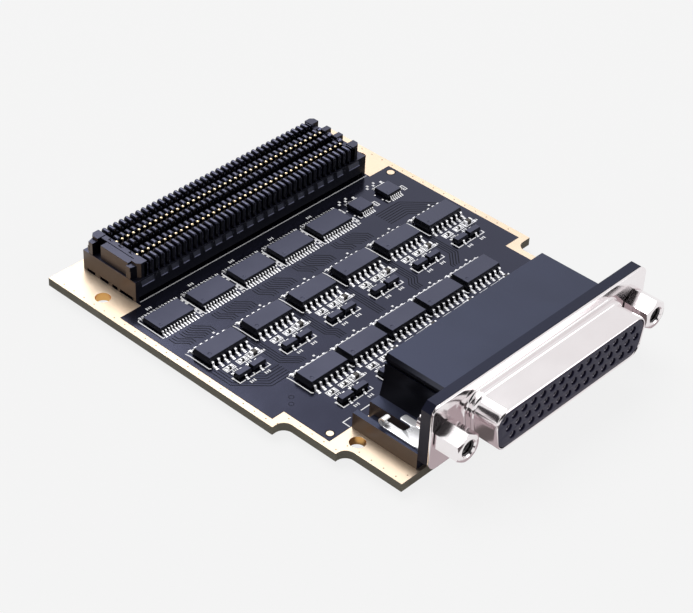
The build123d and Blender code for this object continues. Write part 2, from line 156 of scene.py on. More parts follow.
# Two close colours, for a metal how metallic it is, the range of roughness, the grain's scale and strength,
# and for some plastics how strongly and in what tint they mirror the room
finishes = {
    "plating": metal((0.81, 0.67, 0.525), (0.77, 0.605, 0.45), 0.94, (0.36, 0.42), 2500, 0.02),
    "holePlating": metal((0.80, 0.46, 0.16), (0.66, 0.34, 0.09), 0.95, (0.25, 0.35), 9000, 0.05),
    "viaDark": metal((0.28, 0.19, 0.12), (0.22, 0.15, 0.09), 0.3, (0.5, 0.6), 9000, 0.05),
    "maskTop": plastic((0.003, 0.003, 0.006), (0.002, 0.002, 0.004), (0.14, 0.19), 5000, 0.02,
                       0.82, (0.52, 0.56, 1.0)),
    "maskGap": plastic((0.001, 0.001, 0.002), (0.001, 0.001, 0.001), (0.3, 0.4), 5000, 0.02,
                       0.12, (0.6, 0.64, 1.0)),
    "silkInk": plastic((1.0, 1.0, 1.0), (0.97, 0.97, 1.0), (0.5, 0.65), 12000, 0.1),
    "blackMoulding": plastic((0.003, 0.003, 0.005), (0.002, 0.002, 0.004), (0.26, 0.36), 7000, 0.05,
                             1.0, (0.62, 0.64, 1.0)),
    "portMoulding": plastic((0.005, 0.006, 0.011), (0.004, 0.004, 0.008), (0.34, 0.44), 6000, 0.12,
                            0.78, (0.49, 0.57, 1.0)),
    "insulatorMoulding": plastic((0.018, 0.016, 0.042), (0.014, 0.012, 0.033), (0.4, 0.5), 6000, 0.1,
                                 0.4, (0.75, 0.76, 1.0)),
    "nickelPlate": metal((0.93, 0.89, 0.90), (0.88, 0.83, 0.84), 1.0, (0.09, 0.17), 8000, 0.02),
    "tinPlate": metal((0.97, 0.97, 0.98), (0.92, 0.92, 0.94), 1.0, (0.24, 0.38), 9000, 0.06),
    "contactGold": metal((1.0, 0.86, 0.60), (1.0, 0.80, 0.50), 1.0, (0.16, 0.24), 9000, 0.03),
    "chipMoulding": plastic((0.005, 0.005, 0.009), (0.004, 0.004, 0.007), (0.44, 0.54), 9000, 0.14,
                            0.94, (0.62, 0.65, 1.0)),
    "resistorBody": plastic((0.012, 0.012, 0.018), (0.009, 0.009, 0.014), (0.35, 0.5), 9000, 0.08),
    "capacitorBody": plastic((0.05, 0.042, 0.036), (0.035, 0.03, 0.026), (0.4, 0.55), 9000, 0.1),
    # A dark copy of the black moulding for upright faces and ends: painted shade
    "mouldingFront": plastic((0.003, 0.003, 0.005), (0.002, 0.002, 0.003), (0.3, 0.4), 7000, 0.05,
                             0.16, (0.7, 0.74, 1.0)),
    # A brown copy for faces beside the plated border: a painted warm reflection of the gold
    "mouldingEnd": plastic((0.10, 0.068, 0.050), (0.08, 0.054, 0.040), (0.3, 0.4), 7000, 0.05,
                           1.0, (1.0, 0.84, 0.74)),
    # A lighter copy of the black moulding for the scallops' ramps: painted light
    "mouldingRamp": plastic((0.036, 0.038, 0.055), (0.028, 0.030, 0.044), (0.4, 0.5), 7000, 0.1,
                            0.6, (0.7, 0.74, 1.0)),
    # A dark copy of the chip moulding for upright faces: painted shade
    "chipSide": plastic((0.004, 0.004, 0.006), (0.003, 0.003, 0.005), (0.5, 0.6), 9000, 0.14,
                        0.3, (0.7, 0.74, 1.0)),
    # A dark copy of the port moulding for upright faces and the flange's rim: painted shade
    "portSide": plastic((0.003, 0.004, 0.010), (0.003, 0.003, 0.008), (0.4, 0.5), 6000, 0.12,
                        0.36, (0.50, 0.56, 1.0)),
    # Dark metal deep in the jackscrews' bores and in a ring at their root: painted shade
    "boreDark": metal((0.10, 0.095, 0.10), (0.06, 0.057, 0.06), 1.0, (0.3, 0.45), 9000, 0.05),
    # Near-black metal deep in the socket mouths: painted shade
    "contactDark": metal((0.012, 0.011, 0.012), (0.008, 0.008, 0.009), 0.3, (0.4, 0.5), 9000, 0.05),
    "contactRim": metal((0.22, 0.21, 0.25), (0.16, 0.15, 0.18), 1.0, (0.3, 0.4), 9000, 0.05),
}
laminate = {"dark": (0.15, 0.135, 0.105, 1), "light": (0.25, 0.23, 0.18, 1), "layers": 1500.0, "fray": 2.5,
            "rough": (0.6, 0.8), "grain": 7000, "bump": 0.3}


def addGrain(tree, shader, look, depth):
    grain = addNode(tree, "Group", node_tree=grainGroup, values={
        "Scale": look["grain"], "Low": look["rough"][0], "High": look["rough"][1],
    })
    bump = addNode(tree, "Bump", {"Strength": look["bump"], "Distance": depth},
                   {"Height": grain.outputs["Height"]})
    tree.links.new(grain.outputs["Roughness"], shader.inputs["Roughness"])
    tree.links.new(bump.outputs["Normal"], shader.inputs["Normal"])


def buildFinish(name, look):
    material, tree, shader = newMaterial(name)
    shader.inputs["Metallic"].default_value = look["metallic"]
    shader.inputs["Specular IOR Level"].default_value = look["specular"]
    shader.inputs["Specular Tint"].default_value = (*look["tint"], 1)
    first, second = look["colours"]
    tint = addNode(tree, "Group", {"First": (*first, 1), "Second": (*second, 1)}, node_tree=tintGroup)
    tree.links.new(tint.outputs["Color"], shader.inputs["Base Color"])
    addGrain(tree, shader, look, 0.02 * mm)
    return material


def buildLaminate():
    # The board's cut edge: thin glass cloth layers with a little fray
    material, tree, shader = newMaterial("laminateEdge")
    place = addNode(tree, "TexCoord").outputs["Object"]
    layers = addNode(tree, "TexWave", {
        "Scale": laminate["layers"], "Distortion": laminate["fray"], "Detail Scale": 3.0,
    }, {"Vector": place}, bands_direction="Z")
    ramp = addNode(tree, "ValToRGB", feeds={"Fac": layers.outputs["Fac"]})
    ramp.color_ramp.elements[0].color = laminate["dark"]
    ramp.color_ramp.elements[1].color = laminate["light"]
    tree.links.new(ramp.outputs["Color"], shader.inputs["Base Color"])
    addGrain(tree, shader, laminate, 0.03 * mm)
    return material


finish = {name: buildFinish(name, look) for name, look in finishes.items()}
finish["laminateEdge"] = buildLaminate()
print("materials built,", len(finish))


# Objects and meshes

softEdge = {"sharpAngle": math.radians(35), "bevelAngle": math.radians(28)}


def addObject(name, data):
    made = bpy.data.objects.new(name, data)
    bpy.context.scene.collection.objects.link(made)
    return made


def evaluated(body):
    # The mesh that an object's modifiers make of it
    bpy.context.view_layer.update()
    return bpy.data.meshes.new_from_object(body.evaluated_get(bpy.context.evaluated_depsgraph_get()))


def toMesh(bm, name):
    mesh = bpy.data.meshes.new(name)
    bm.to_mesh(mesh)
    bm.free()
    return mesh


def meshOf(fill, name="form"):
    bm = bmesh.new()
    fill(bm)
    bmesh.ops.recalc_face_normals(bm, faces=bm.faces)
    return toMesh(bm, name)


def joinMeshes(name, meshes):
    bm = bmesh.new()
    for mesh in meshes:
        bm.from_mesh(mesh)
    return toMesh(bm, name)


def settle(name, mesh, materials, replaced=(), bevel=0.0, segments=2, smooth=True):
    piece = addObject(name, mesh)
    for label in materials:
        piece.data.materials.append(finish[label])
    if smooth:
        piece.data.shade_smooth()
        piece.data.set_sharp_from_angle(angle=softEdge["sharpAngle"])
    if bevel:
        soften = piece.modifiers.new("soften", "BEVEL")
        soften.width = bevel
        soften.segments = segments
        soften.limit_method = "ANGLE"
        soften.angle_limit = softEdge["bevelAngle"]
        piece.modifiers.new("weigh", "WEIGHTED_NORMAL").keep_sharp = True
        done = evaluated(piece)
        piece.modifiers.clear()
        piece.data = done
    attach(piece, "root")
    if replaced:
        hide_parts(*replaced)
    return piece


def makePiece(name, fill, materials, replaced=(), bevel=0.0, segments=2, smooth=True):
    return settle(name, meshOf(fill, name), materials, replaced, bevel, segments, smooth)


def paintFaces(piece, choose):
    # Gives faces another of the piece's finishes, by their direction and middle
    for face in piece.data.polygons:
        picked = choose(face.normal, face.center)
        if picked is not None:
            face.material_index = picked


# Upright faces take a piece's second, darker finish: painted shade on the sides
def upright(normal, middle):
    return 1 if normal.z < 0.35 else None


def softCopy(node, name, materials, bevel, choose=None, split=None):
    # The node's own solid with its edges rounded, as moulding and plating leave them
    bm = bmesh.new()
    bm.from_mesh(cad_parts[node].data)
    bmesh.ops.remove_doubles(bm, verts=bm.verts, dist=0.001 * mm)
    bmesh.ops.dissolve_limit(bm, angle_limit=math.radians(1), verts=bm.verts, edges=bm.edges)
    if split is not None:
        geometry = bm.verts[:] + bm.edges[:] + bm.faces[:]
        bmesh.ops.bisect_plane(bm, geom=geometry, plane_co=(0, split, 0), plane_no=(0, 1, 0))
    for face in bm.faces:
        face.material_index = choose(face) if choose else 0
        face.smooth = False
    return settle(name, toMesh(bm, name), materials, (node,), bevel)


def cutBy(mesh, fill, operation="DIFFERENCE"):
    # Cuts the mesh by the closed forms that fill makes, or keeps what both share
    cutter = addObject("cutter", meshOf(fill))
    body = addObject("cutBody", mesh)
    cut = body.modifiers.new("cut", "BOOLEAN")
    cut.object = cutter
    cut.operation = operation
    cut.solver = "EXACT"
    done = evaluated(body)
    bpy.data.objects.remove(body)
    bpy.data.objects.remove(cutter)
    return done


# Forms

def addBox(bm, low, high, index=0):
    corners = [bm.verts.new((x, y, z)) for x in (low[0], high[0]) for y in (low[1], high[1])
               for z in (low[2], high[2])]
    for ring in ((0, 1, 3, 2), (4, 6, 7, 5), (0, 4, 5, 1), (2, 3, 7, 6), (0, 2, 6, 4), (1, 5, 7, 3)):
        bm.faces.new([corners[i] for i in ring]).material_index = index


def bridge(bm, lower, upper, index=0):
    # Faces between two closed rings with as many points
    count = len(lower)
    for i in range(count):
        j = (i + 1) % count
        bm.faces.new((lower[i], lower[j], upper[j], upper[i])).material_index = index


def addRings(bm, rings, index=0, form="solid"):
    # Joins closed rings in order. A solid has both ends capped, an open form only the first,
    # and a tube joins its last ring to its first
    loops = [[bm.verts.new(point) for point in ring] for ring in rings]
    for lower, upper in zip(loops, loops[1:]):
        bridge(bm, lower, upper, index)
    if form == "tube":
        bridge(bm, loops[-1], loops[0], index)
    else:
        bm.faces.new(loops[0][::-1]).material_index = index
    if form == "solid":
        bm.faces.new(loops[-1]).material_index = index
    return loops


def addPrism(bm, outline, axis, low, high, index=0):
    # An outline in the plane across the axis, given in the order of the other two axes
    def point(a, b, c):
        return {"x": (c, a, b), "y": (a, c, b), "z": (a, b, c)}[axis]
    addRings(bm, [[point(a, b, c) for a, b in outline] for c in (low, high)], index)


def rectangle(low, high, z, inset=0.0):
    x0, y0, x1, y1 = low[0] + inset, low[1] + inset, high[0] - inset, high[1] - inset
    return [(x0, y0, z), (x1, y0, z), (x1, y1, z), (x0, y1, z)]


def ringPoints(centre, radius, count, axis="z", turn=0.0):
    points = []
    for k in range(count):
        angle = turn + 2 * math.pi * k / count
        a, b = radius * math.cos(angle), radius * math.sin(angle)
        points.append({"z": Vector((a, b, 0)), "y": Vector((a, 0, b))}[axis] + Vector(centre))
    return points


def thicken(line, thickness):
    # The closed outline of a bent strip around its middle line
    left, right = [], []
    for i, point in enumerate(line):
        here = Vector(point)
        before, after = Vector(line[max(i - 1, 0)]), Vector(line[min(i + 1, len(line) - 1)])
        first = (here - before).normalized() if i else (after - here).normalized()
        last = (after - here).normalized() if i < len(line) - 1 else first
        along = (first + last).normalized()
        across = Vector((-along.y, along.x))
        reach = thickness / 2 / max(across.dot(Vector((-first.y, first.x))), 0.5)
        left.append(tuple(here + across * reach))
        right.append(tuple(here - across * reach))
    return left + right[::-1]


def rounded(points, radius, steps=4):
    # Replaces each inner corner of an open line by an arc
    line = [tuple(points[0])]
    for before, here, after in zip(points, points[1:], points[2:]):
        a, b, c = Vector(before), Vector(here), Vector(after)
        u, v = (a - b).normalized(), (c - b).normalized()
        half = u.angle(v) / 2
        cut = min(radius / math.tan(half), 0.48 * (a - b).length, 0.48 * (c - b).length)
        centre = b + (u + v).normalized() * cut / math.cos(half)
        start, stop = b + u * cut - centre, b + v * cut - centre
        for k in range(steps + 1):
            line.append(tuple(centre + start.lerp(stop, k / steps).normalized() * start.length))
    line.append(tuple(points[-1]))
    return line


def loopRounded(points, radius, steps):
    # Rounds every corner of a closed outline
    line = []
    for i, here in enumerate(points):
        line += rounded([points[i - 1], here, points[(i + 1) % len(points)]], radius, steps)[1:-1]
    return line


def plateWithHoles(outer, holes, thickness, bevel):
    # A flat plate, filled between its outline and its holes, with rounded edges
    curve = bpy.data.curves.new("plate", "CURVE")
    curve.dimensions = "2D"
    curve.fill_mode = "BOTH"
    curve.extrude = thickness / 2 - bevel
    curve.bevel_depth = bevel
    curve.bevel_resolution = 2
    curve.offset = -bevel
    for outline in (outer, *holes):
        spline = curve.splines.new("POLY")
        spline.points.add(len(outline) - 1)
        for point, (a, b) in zip(spline.points, outline):
            point.co = (a, b, 0, 1)
        spline.use_cyclic_u = True
    holder = bpy.data.objects.new("plate", curve)
    bm = bmesh.new()
    bm.from_mesh(bpy.data.meshes.new_from_object(holder))
    bpy.data.objects.remove(holder)
    bmesh.ops.remove_doubles(bm, verts=bm.verts, dist=0.002 * mm)
    bmesh.ops.recalc_face_normals(bm, faces=bm.faces)
    return toMesh(bm, "plate")


# Board, with plated faces, laminate edges and plated hole walls

board = {**inMm(edgeRadius=0.04, holeReach=2.2, pinMargin=1.0),
         "holes": ((-31.5, 31.7), (31.5, 31.7), (-27.5, -23.1))}
pinsLow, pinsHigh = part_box("socket_pins")


def boardFace(face):
    # 0 plating, 1 laminate, 2 hole wall, 3 underside mask
    if face.normal.z > 0.5:
        return 0
    if face.normal.z < -0.5:
        return 3
    x, y, _ = face.calc_center_median()
    if any(math.dist((x, y), (a * mm, b * mm)) < board["holeReach"] for a, b in board["holes"]):
        return 2
    margin = board["pinMargin"]
    return 2 if pinsLow.x - margin < x < pinsHigh.x + margin and pinsLow.y < y < pinsHigh.y + margin else 1


boardFinishes = ["plating", "laminateEdge", "holePlating", "maskTop"]
softCopy("circuit_board", "circuitBoard", boardFinishes, board["edgeRadius"], boardFace)
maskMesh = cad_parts["solder_mask"].data
maskMesh.materials.clear()
maskMesh.materials.append(finish["maskTop"])
print("board made")


# Gull-wing leads, bent from strip and soldered to their pads

thinDriver = {**inMm(pitch=0.65, width=0.24, thickness=0.13, exit=0.56, shoulder=0.3, foot=0.62, pad=0.3),
              "count": 12}
smallChip = {**inMm(pitch=0.5, width=0.2, thickness=0.12, exit=0.48, shoulder=0.18, foot=0.42, pad=0.22),
             "count": 6}
lineDriver = {**inMm(pitch=1.27, width=0.42, thickness=0.2, exit=0.8, shoulder=0.3, foot=0.62, pad=0.4),
              "count": 7}
sotLead = inMm(width=0.4, thickness=0.12, exit=0.45, shoulder=0.12, foot=0.3, pad=0.3)
joint = inMm(inBody=0.2, lap=0.02, padMargin=0.06, padHeight=0.03, padHeel=0.12, edge=0.02)


def addGullWing(bm, x, y, side, bodyHalf, reach, lead):
    t, lap = lead["thickness"], joint["lap"]
    toe = y + side * reach
    heel = toe - side * lead["foot"]
    high, low = maskTop + lead["exit"], maskTop + t / 2 + lap
    line = [(y + side * (bodyHalf - joint["inBody"]), high), (y + side * (bodyHalf + lead["shoulder"]), high),
            (heel, low), (toe, low)]
    addPrism(bm, thicken(rounded(line, 0.9 * t), t), "x", x - lead["width"] / 2, x + lead["width"] / 2)
    # Pad, and the solder drawn up the toe
    half = lead["width"] / 2 + joint["padMargin"]
    padLow, padHigh = sorted((heel - side * joint["padHeel"], toe + side * lead["pad"]))
    addBox(bm, (x - half, padLow, maskTop), (x + half, padHigh, maskTop + joint["padHeight"]), 1)
    fillet = [(toe - side * lap, maskTop + lap), (toe + side * 0.7 * lead["pad"], maskTop + lap),
              (toe + side * 0.2 * lead["pad"], maskTop + 0.45 * t), (toe - side * lap, maskTop + 0.8 * t)]
    addPrism(bm, fillet, "x", x - 0.85 * half, x + 0.85 * half, 1)


def makeLeads(bodyNode, leadNode, name, lead):
    middle = centreOf(bodyNode)
    bodyLow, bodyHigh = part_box(bodyNode)
    leadLow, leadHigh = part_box(leadNode)
    bodyHalf, reach = (bodyHigh.y - bodyLow.y) / 2, (leadHigh.y - leadLow.y) / 2

    def fill(bm):
        for side in (-1, 1):
            for x in evenRow(middle.x, lead["count"], lead["pitch"]):
                addGullWing(bm, x, middle.y, side, bodyHalf, reach, lead)

    makePiece(name, fill, ["tinPlate", "tinPlate"], (leadNode,), joint["edge"], segments=1)


# Chip bodies: two drafted halves about the parting line, with a first-lead dimple

chipBody = {"parting": 0.48, "draft": 0.12, "edge": 0.04 * mm}     # both shares of the body's height
thinDimple = inMm(inset=0.9, radius=0.3, depth=0.06)
smallDimple = inMm(inset=0.7, radius=0.22, depth=0.05)
wideDimple = inMm(inset=1.0, radius=0.35, depth=0.08)


def addBody(bm, low, high, dimple):
    height = high.z - low.z
    draft = chipBody["draft"] * height
    loops = addRings(bm, [
        rectangle(low, high, low.z, draft),
        rectangle(low, high, low.z + chipBody["parting"] * height),
        rectangle(low, high, high.z, draft),
    ], form="open")
    centre = Vector((low.x + dimple["inset"], low.y + dimple["inset"], high.z))
    bottom = centre - Vector((0, 0, dimple["depth"]))
    rim = [bm.verts.new(p) for p in ringPoints(centre, dimple["radius"], 20)]
    floor = [bm.verts.new(p) for p in ringPoints(bottom, 0.8 * dimple["radius"], 20)]
    edges = [bm.edges.get((a, b)) for a, b in zip(loops[-1], loops[-1][1:] + loops[-1][:1])]
    edges += [bm.edges.new((a, b)) for a, b in zip(rim, rim[1:] + rim[:1])]
    bmesh.ops.triangle_fill(bm, edges=edges, use_beauty=True)
    bridge(bm, rim, floor)
    bm.faces.new(floor)


def makeBody(node, name, dimple):
    low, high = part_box(node)

    def fill(bm):
        addBody(bm, low, high, dimple)

    body = makePiece(name, fill, ["chipMoulding", "chipSide"], (node,), bevel=chipBody["edge"])
    paintFaces(body, upright)


for label, name, count, dimple, lead in (
    ("thin_driver", "thinDriver", 5, thinDimple, thinDriver),
    ("small_chip", "smallChip", 2, smallDimple, smallChip),
    ("line_driver", "lineDriver", 11, wideDimple, lineDriver),
):
    for number in range(1, count + 1):
        makeBody(f"{label}_body_{number}", f"{name}Body{number}", dimple)
        makeLeads(f"{label}_body_{number}", f"{label}_leads_{number}", f"{name}Leads{number}", lead)
print("chips and their leads made")


# Mezzanine connector housing

mezzanine = {
    **inMm(pitch=1.27, ridgePitch=2.54, ridgeThickness=1.2, baseTop=4.0, floor=3.6, upperLength=54.0,
           upperDepth=12.2, notchWide=0.5, notchNarrow=0.34, notchDepth=0.85, humpDrop=0.3, ribWidth=0.62,
           humpWidth=0.86, ribDepth=0.28, innerRib=0.14, webThin=0.34, webThick=0.42, lap=0.05, edge=0.05,
           bumpHalf=0.14, bumpDepth=0.62, bumpHeight=0.3),
    "contacts": 40, "ridges": 5,
}
mezzanineFeet = {
    **inMm(gap=0.62, inset=14.0, side=1.5, halfLength=1.0, halfWidth=0.7, endDepth=0.8, lap=0.1),
    "ends": ((0.0, 0.07), (0.22, 0.32), (0.48, 0.55), (0.65, 0.7), (0.95, 1.0)),
}
pocket = {**inMm(pitch=2.54, length=2.1, low=2.5, rim=0.22, depth=0.42, taper=0.3, toe=0.1,
                 endLength=3.4, endInset=2.9), "count": 18}
mezzanineEnds = inMm(recess=0.8, wall=1.1, half=4.2, chamfer=0.6, lap=0.05, wallDrop=0.12, plateInset=0.5,
                     plateShort=1.6, plateDrop=0.22, footIn=0.1, footOut=0.05, footDrop=0.5, footNear=0.5,
                     footFar=0.9, slotHalf=0.22, slotLow=0.5, slotDrop=1.3, rightHalf=4.4, lowWall=0.3,
                     lowWallDrop=0.6, pegIn=0.2, pegHalf=0.55, pegNear=-1.3, pegFar=1.7)
housingLow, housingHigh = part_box("mezzanine_housing")
housingMiddle = (housingLow + housingHigh) / 2
housingTop = housingHigh.z
ridgeFloor, baseTop = boardTop + mezzanine["floor"], boardTop + mezzanine["baseTop"]
contactPlaces = evenRow(housingMiddle.x, mezzanine["contacts"], mezzanine["pitch"])
ribPlaces = evenRow(housingMiddle.x, mezzanine["contacts"] + 1, mezzanine["pitch"])
ridgePlaces = evenRow(housingMiddle.y, mezzanine["ridges"], mezzanine["ridgePitch"])
upperEnds = [housingMiddle.x - mezzanine["upperLength"] / 2, housingMiddle.x + mezzanine["upperLength"] / 2]


def fillMezzanineBase(bm):
    # The base stands off the board on small feet. Those along its ends are given in shares of its depth
    f = mezzanineFeet
    bottom = boardTop + f["gap"]
    addBox(bm, (housingLow.x, housingLow.y, bottom), (housingHigh.x, housingHigh.y, baseTop))
    for x in (housingLow.x + f["inset"], housingMiddle.x, housingHigh.x - f["inset"]):
        for y in (housingLow.y + f["side"], housingHigh.y - f["side"]):
            addBox(bm, (x - f["halfLength"], y - f["halfWidth"], maskTop),
                   (x + f["halfLength"], y + f["halfWidth"], bottom + f["lap"]))
    depth = housingHigh.y - housingLow.y
    for first, last in f["ends"]:
        y0, y1 = housingHigh.y - last * depth, housingHigh.y - first * depth
        for x in (housingLow.x, housingHigh.x - f["endDepth"]):
            addBox(bm, (x, y0, maskTop), (x + f["endDepth"], y1, bottom + f["lap"]))


def fillPockets(bm):
    # Scallops under the base's long edges: deep at the top, narrower below, ramping out to the face
    p = pocket
    low, high = boardTop + p["low"], baseTop - p["rim"]
    places = [(x, p["length"]) for x in evenRow(housingMiddle.x, p["count"], p["pitch"])]
    places += [(x, p["endLength"]) for x in (housingLow.x + p["endInset"], housingHigh.x - p["endInset"])]

    def ring(x, length, upperY, lowerY, bottom):
        wide, narrow = length / 2, length / 2 - p["taper"]
        return [(x - wide, upperY, high), (x + wide, upperY, high),
                (x + narrow, lowerY, bottom), (x - narrow, lowerY, bottom)]

    for side, face in ((-1, housingLow.y), (1, housingHigh.y)):
        outer, inner, toe = face + side * p["taper"], face - side * p["depth"], face - side * p["toe"]
        for x, length in places:
            addRings(bm, [
                ring(x, length, outer, outer, low),
                ring(x, length, face, face, low),
                ring(x, length, inner, toe, low + p["toe"]),
            ])


def toothedOutline(low, high, floor, top):
    # A ridge seen along the board: rounded humps between the contacts' notches
    m = mezzanine
    wide, narrow, drop = m["notchWide"] / 2, m["notchNarrow"] / 2, m["humpDrop"]
    hump = [math.radians(angle) for angle in (20, 45, 70, 90, 110, 135, 160)]
    reach = m["pitch"] / 2 - wide
    outline = [(low, floor), (high, floor), (high, top)]
    for number, x in enumerate(reversed(contactPlaces)):
        if number:
            middle = x + m["pitch"] / 2
            outline += [(middle + reach * math.cos(t), top - drop + drop * math.sin(t)) for t in hump]
        outline += [(x + wide, top - drop), (x + narrow, top - m["notchDepth"]),
                    (x - narrow, top - m["notchDepth"]), (x - wide, top - drop)]
    return outline + [(low, top)]


def addRib(bm, x, face, side, low, width, depth):
    # An upright rib whose rounded head slopes off towards its outer face
    half, drop = width / 2, mezzanine["humpDrop"]
    head = [(half * math.cos(math.pi * k / 8), drop * math.sin(math.pi * k / 8)) for k in range(9)]

    def ring(y, lower):
        top = housingTop - lower - drop
        return [(x - half, y, low), (x + half, y, low)] + [(x + a, y, top + b) for a, b in head]
    addRings(bm, [ring(face - side * 0.1 * mm, 0.0), ring(face + side * 0.5 * depth, 0.04 * mm),
                  ring(face + side * depth, drop)])


def fillRidges(bm):
    m, e = mezzanine, mezzanineEnds
    half = m["ridgeThickness"] / 2
    inset = e["recess"] + e["wall"] / 2
    base = baseTop - 0.02 * mm
    outline = toothedOutline(upperEnds[0] + inset, upperEnds[1] - inset, ridgeFloor - m["lap"], housingTop)
    for number, y in enumerate(ridgePlaces):
        if number in (0, m["ridges"] - 1):
            side = -1 if number == 0 else 1
            outer = housingMiddle.y + side * (m["upperDepth"] / 2 - m["ribDepth"])
            inner = y - side * half
            bumpLow, bumpHigh = sorted((outer, outer + side * m["bumpDepth"]))
            addPrism(bm, outline, "y", min(inner, outer), max(inner, outer))
            for x in ribPlaces:
                addRib(bm, x, outer, side, base, m["ribWidth"], m["ribDepth"])
                addRib(bm, x, inner, -side, ridgeFloor, m["ribWidth"], m["innerRib"])
                # A small bump where the rib meets the base, wholly in the dark copy of the moulding: painted
                # shade at the rib's foot
                addBox(bm, (x - m["bumpHalf"], bumpLow, base),
                       (x + m["bumpHalf"], bumpHigh, base + m["bumpHeight"]), 1)
        else:
            web = m["webThin"] if number in (1, 3) else m["webThick"]
            addPrism(bm, outline, "y", y - web, y + web)
            for side in (-1, 1):
                for x in ribPlaces:
                    addRib(bm, x, y + side * web, side, ridgeFloor, m["humpWidth"], half - web)


def fillMezzanineEnds(bm):
    e = mezzanineEnds
    floor, top, middle = ridgeFloor - e["lap"], housingTop, housingMiddle.y
    left, right = upperEnds

    def addPosts(end, inward, near):
        # Corner posts from the recess to the long faces, and the inner face of the wall between them
        inner = end + inward * (e["recess"] + e["wall"])
        for side in (-1, 1):
            y0, y1 = middle + side * near, middle + side * mezzanine["upperDepth"] / 2
            addPrism(bm, [(inner, y0), (end, y0), (end, y1 - side * e["chamfer"]),
                          (end + inward * e["chamfer"], y1), (inner, y1)], "z", floor, top)
        return inner

    # Left end: a wall behind the recess, with a plate that fills part of it
    inner = addPosts(left, 1, e["half"])
    half = e["half"] + e["lap"]
    addBox(bm, (left + e["recess"], middle - half, floor), (inner, middle + half, top - e["wallDrop"]))
    addBox(bm, (housingLow.x + e["plateInset"], middle - half, baseTop - e["lap"]),
           (left + e["recess"] + e["footIn"], middle + e["half"] - e["plateShort"], top - e["plateDrop"]))
    # The posts' feet widen to the end of the base, each with a narrow slot in its face
    start, end = left + e["footIn"], housingLow.x + e["footOut"]
    for side in (-1, 1):
        y0, y1 = middle + side * e["half"], middle + side * mezzanine["upperDepth"] / 2
        foot = [(start, y0), (end, y0), (end, y1 - side * e["footFar"]), (start, y1 - side * e["footNear"])]
        addPrism(bm, foot, "z", baseTop - 0.02 * mm, top - e["footDrop"])
        slot = (y0 + y1) / 2
        addBox(bm, (housingLow.x + 0.02 * mm, slot - e["slotHalf"], baseTop + e["slotLow"]),
               (housingLow.x + 0.1 * mm, slot + e["slotHalf"], top - e["slotDrop"]), 2)
    # Right end: a lower wall and two pegs
    inner = addPosts(right, -1, e["rightHalf"])
    half = e["half"] + e["lowWall"]
    addBox(bm, (inner, middle - half, floor), (right - e["recess"], middle + half, top - e["lowWallDrop"]))
    for y in (middle + e["pegNear"], middle + e["pegFar"]):
        addBox(bm, (inner + e["pegIn"], y - e["pegHalf"], floor), (right, y + e["pegHalf"], top))


def fillMezzanineUpper(bm):
    fillRidges(bm)
    fillMezzanineEnds(bm)


def mezzanineFace(normal, middle):
    # 1 upright faces in painted shade, 2 the left end beside the plated border with a painted warm reflection
    # of it, 3 the scallops' ramps painted lighter. Tops stay 0
    if normal.z > 0.5 or middle.z > housingTop - mezzanine["humpDrop"]:
        return None
    if abs(middle.y - housingLow.y) < pocket["depth"] and normal.z > 0.12:
        return 3
    return 2 if normal.x < -0.5 and middle.x < upperEnds[0] + 0.4 * mm else 1


forms = [cutBy(meshOf(fillMezzanineBase), fillPockets), meshOf(fillMezzanineUpper)]
housing = settle("mezzanineHousing", joinMeshes("mezzanineHousing", forms),
                 ["blackMoulding", "mouldingFront", "mouldingEnd", "mouldingRamp"],
                 ("mezzanine_housing",), bevel=mezzanine["edge"])
paintFaces(housing, mezzanineFace)


# Mezzanine contacts: bowed springs with a bead at the tip, deeper in the rows behind a ridge

contact = inMm(width=0.36, thickness=0.16, tipDrop=0.52, backDrop=1.3, stand=0.1, bendDrop=1.2, bow=0.4,
               bowDrop=0.35, tipStand=0.16, corner=0.8, bead=0.32, beadStand=0.34)
beadForm = Matrix.Diagonal((1, 0.9, 0.8, 1))
contactRows = ((1, -1), (1, 1), (3, -1), (3, 1))     # the ridge and the side of it


def makeContacts(row, ridge, side):
    c = contact
    face = ridgePlaces[ridge] + side * mezzanine["webThin"]
    tip = housingTop - (c["tipDrop"] if side < 0 else c["backDrop"])
    line = [(face + side * c["stand"], ridgeFloor), (face + side * c["stand"], tip - c["bendDrop"]),
            (face + side * c["bow"], tip - c["bowDrop"]), (face + side * c["tipStand"], tip)]
    outline = thicken(rounded(line, c["corner"]), c["thickness"])

    def fill(bm):
        for x in contactPlaces:
            addPrism(bm, outline, "x", x - c["width"] / 2, x + c["width"] / 2)
            bead = bmesh.ops.create_icosphere(bm, subdivisions=2, radius=c["bead"])
            place = Matrix.Translation((x, face + side * c["beadStand"], tip))
            bmesh.ops.transform(bm, matrix=place @ beadForm, verts=bead["verts"])

    makePiece(f"mezzanineContacts{row}", fill, ["contactGold"], (f"mezzanine_contacts_{row}",))


for row, (ridge, side) in enumerate(contactRows, start=1):
    makeContacts(row, ridge, side)
print("mezzanine connector made")


# Port: formed metal shell, insulator with its sockets, moulded housing and pins

port = {
    **inMm(shellHalf=19.15, shellRise=3.95, corner=2.6, reach=6.2, plate=0.5, plateEdge=0.12, plateGap=0.2,
           flangeHalf=26.52, flangeRise=6.25, flangeCorner=1.7, flangeDepth=2.4, screwSpacing=23.52,
           screwHole=1.55, socketPitch=2.29, socketRow=1.98, socketHole=0.7, socketEdge=0.1, insulatorGap=0.5,
           insulatorRecess=0.15, insulatorThickness=4.5, lap=0.02, ribHeight=5.5, ribReach=5.0,
           housingEdge=0.12, pinEdge=0.05),
    "slope": math.radians(10), "socketCounts": (15, 15, 14),
}
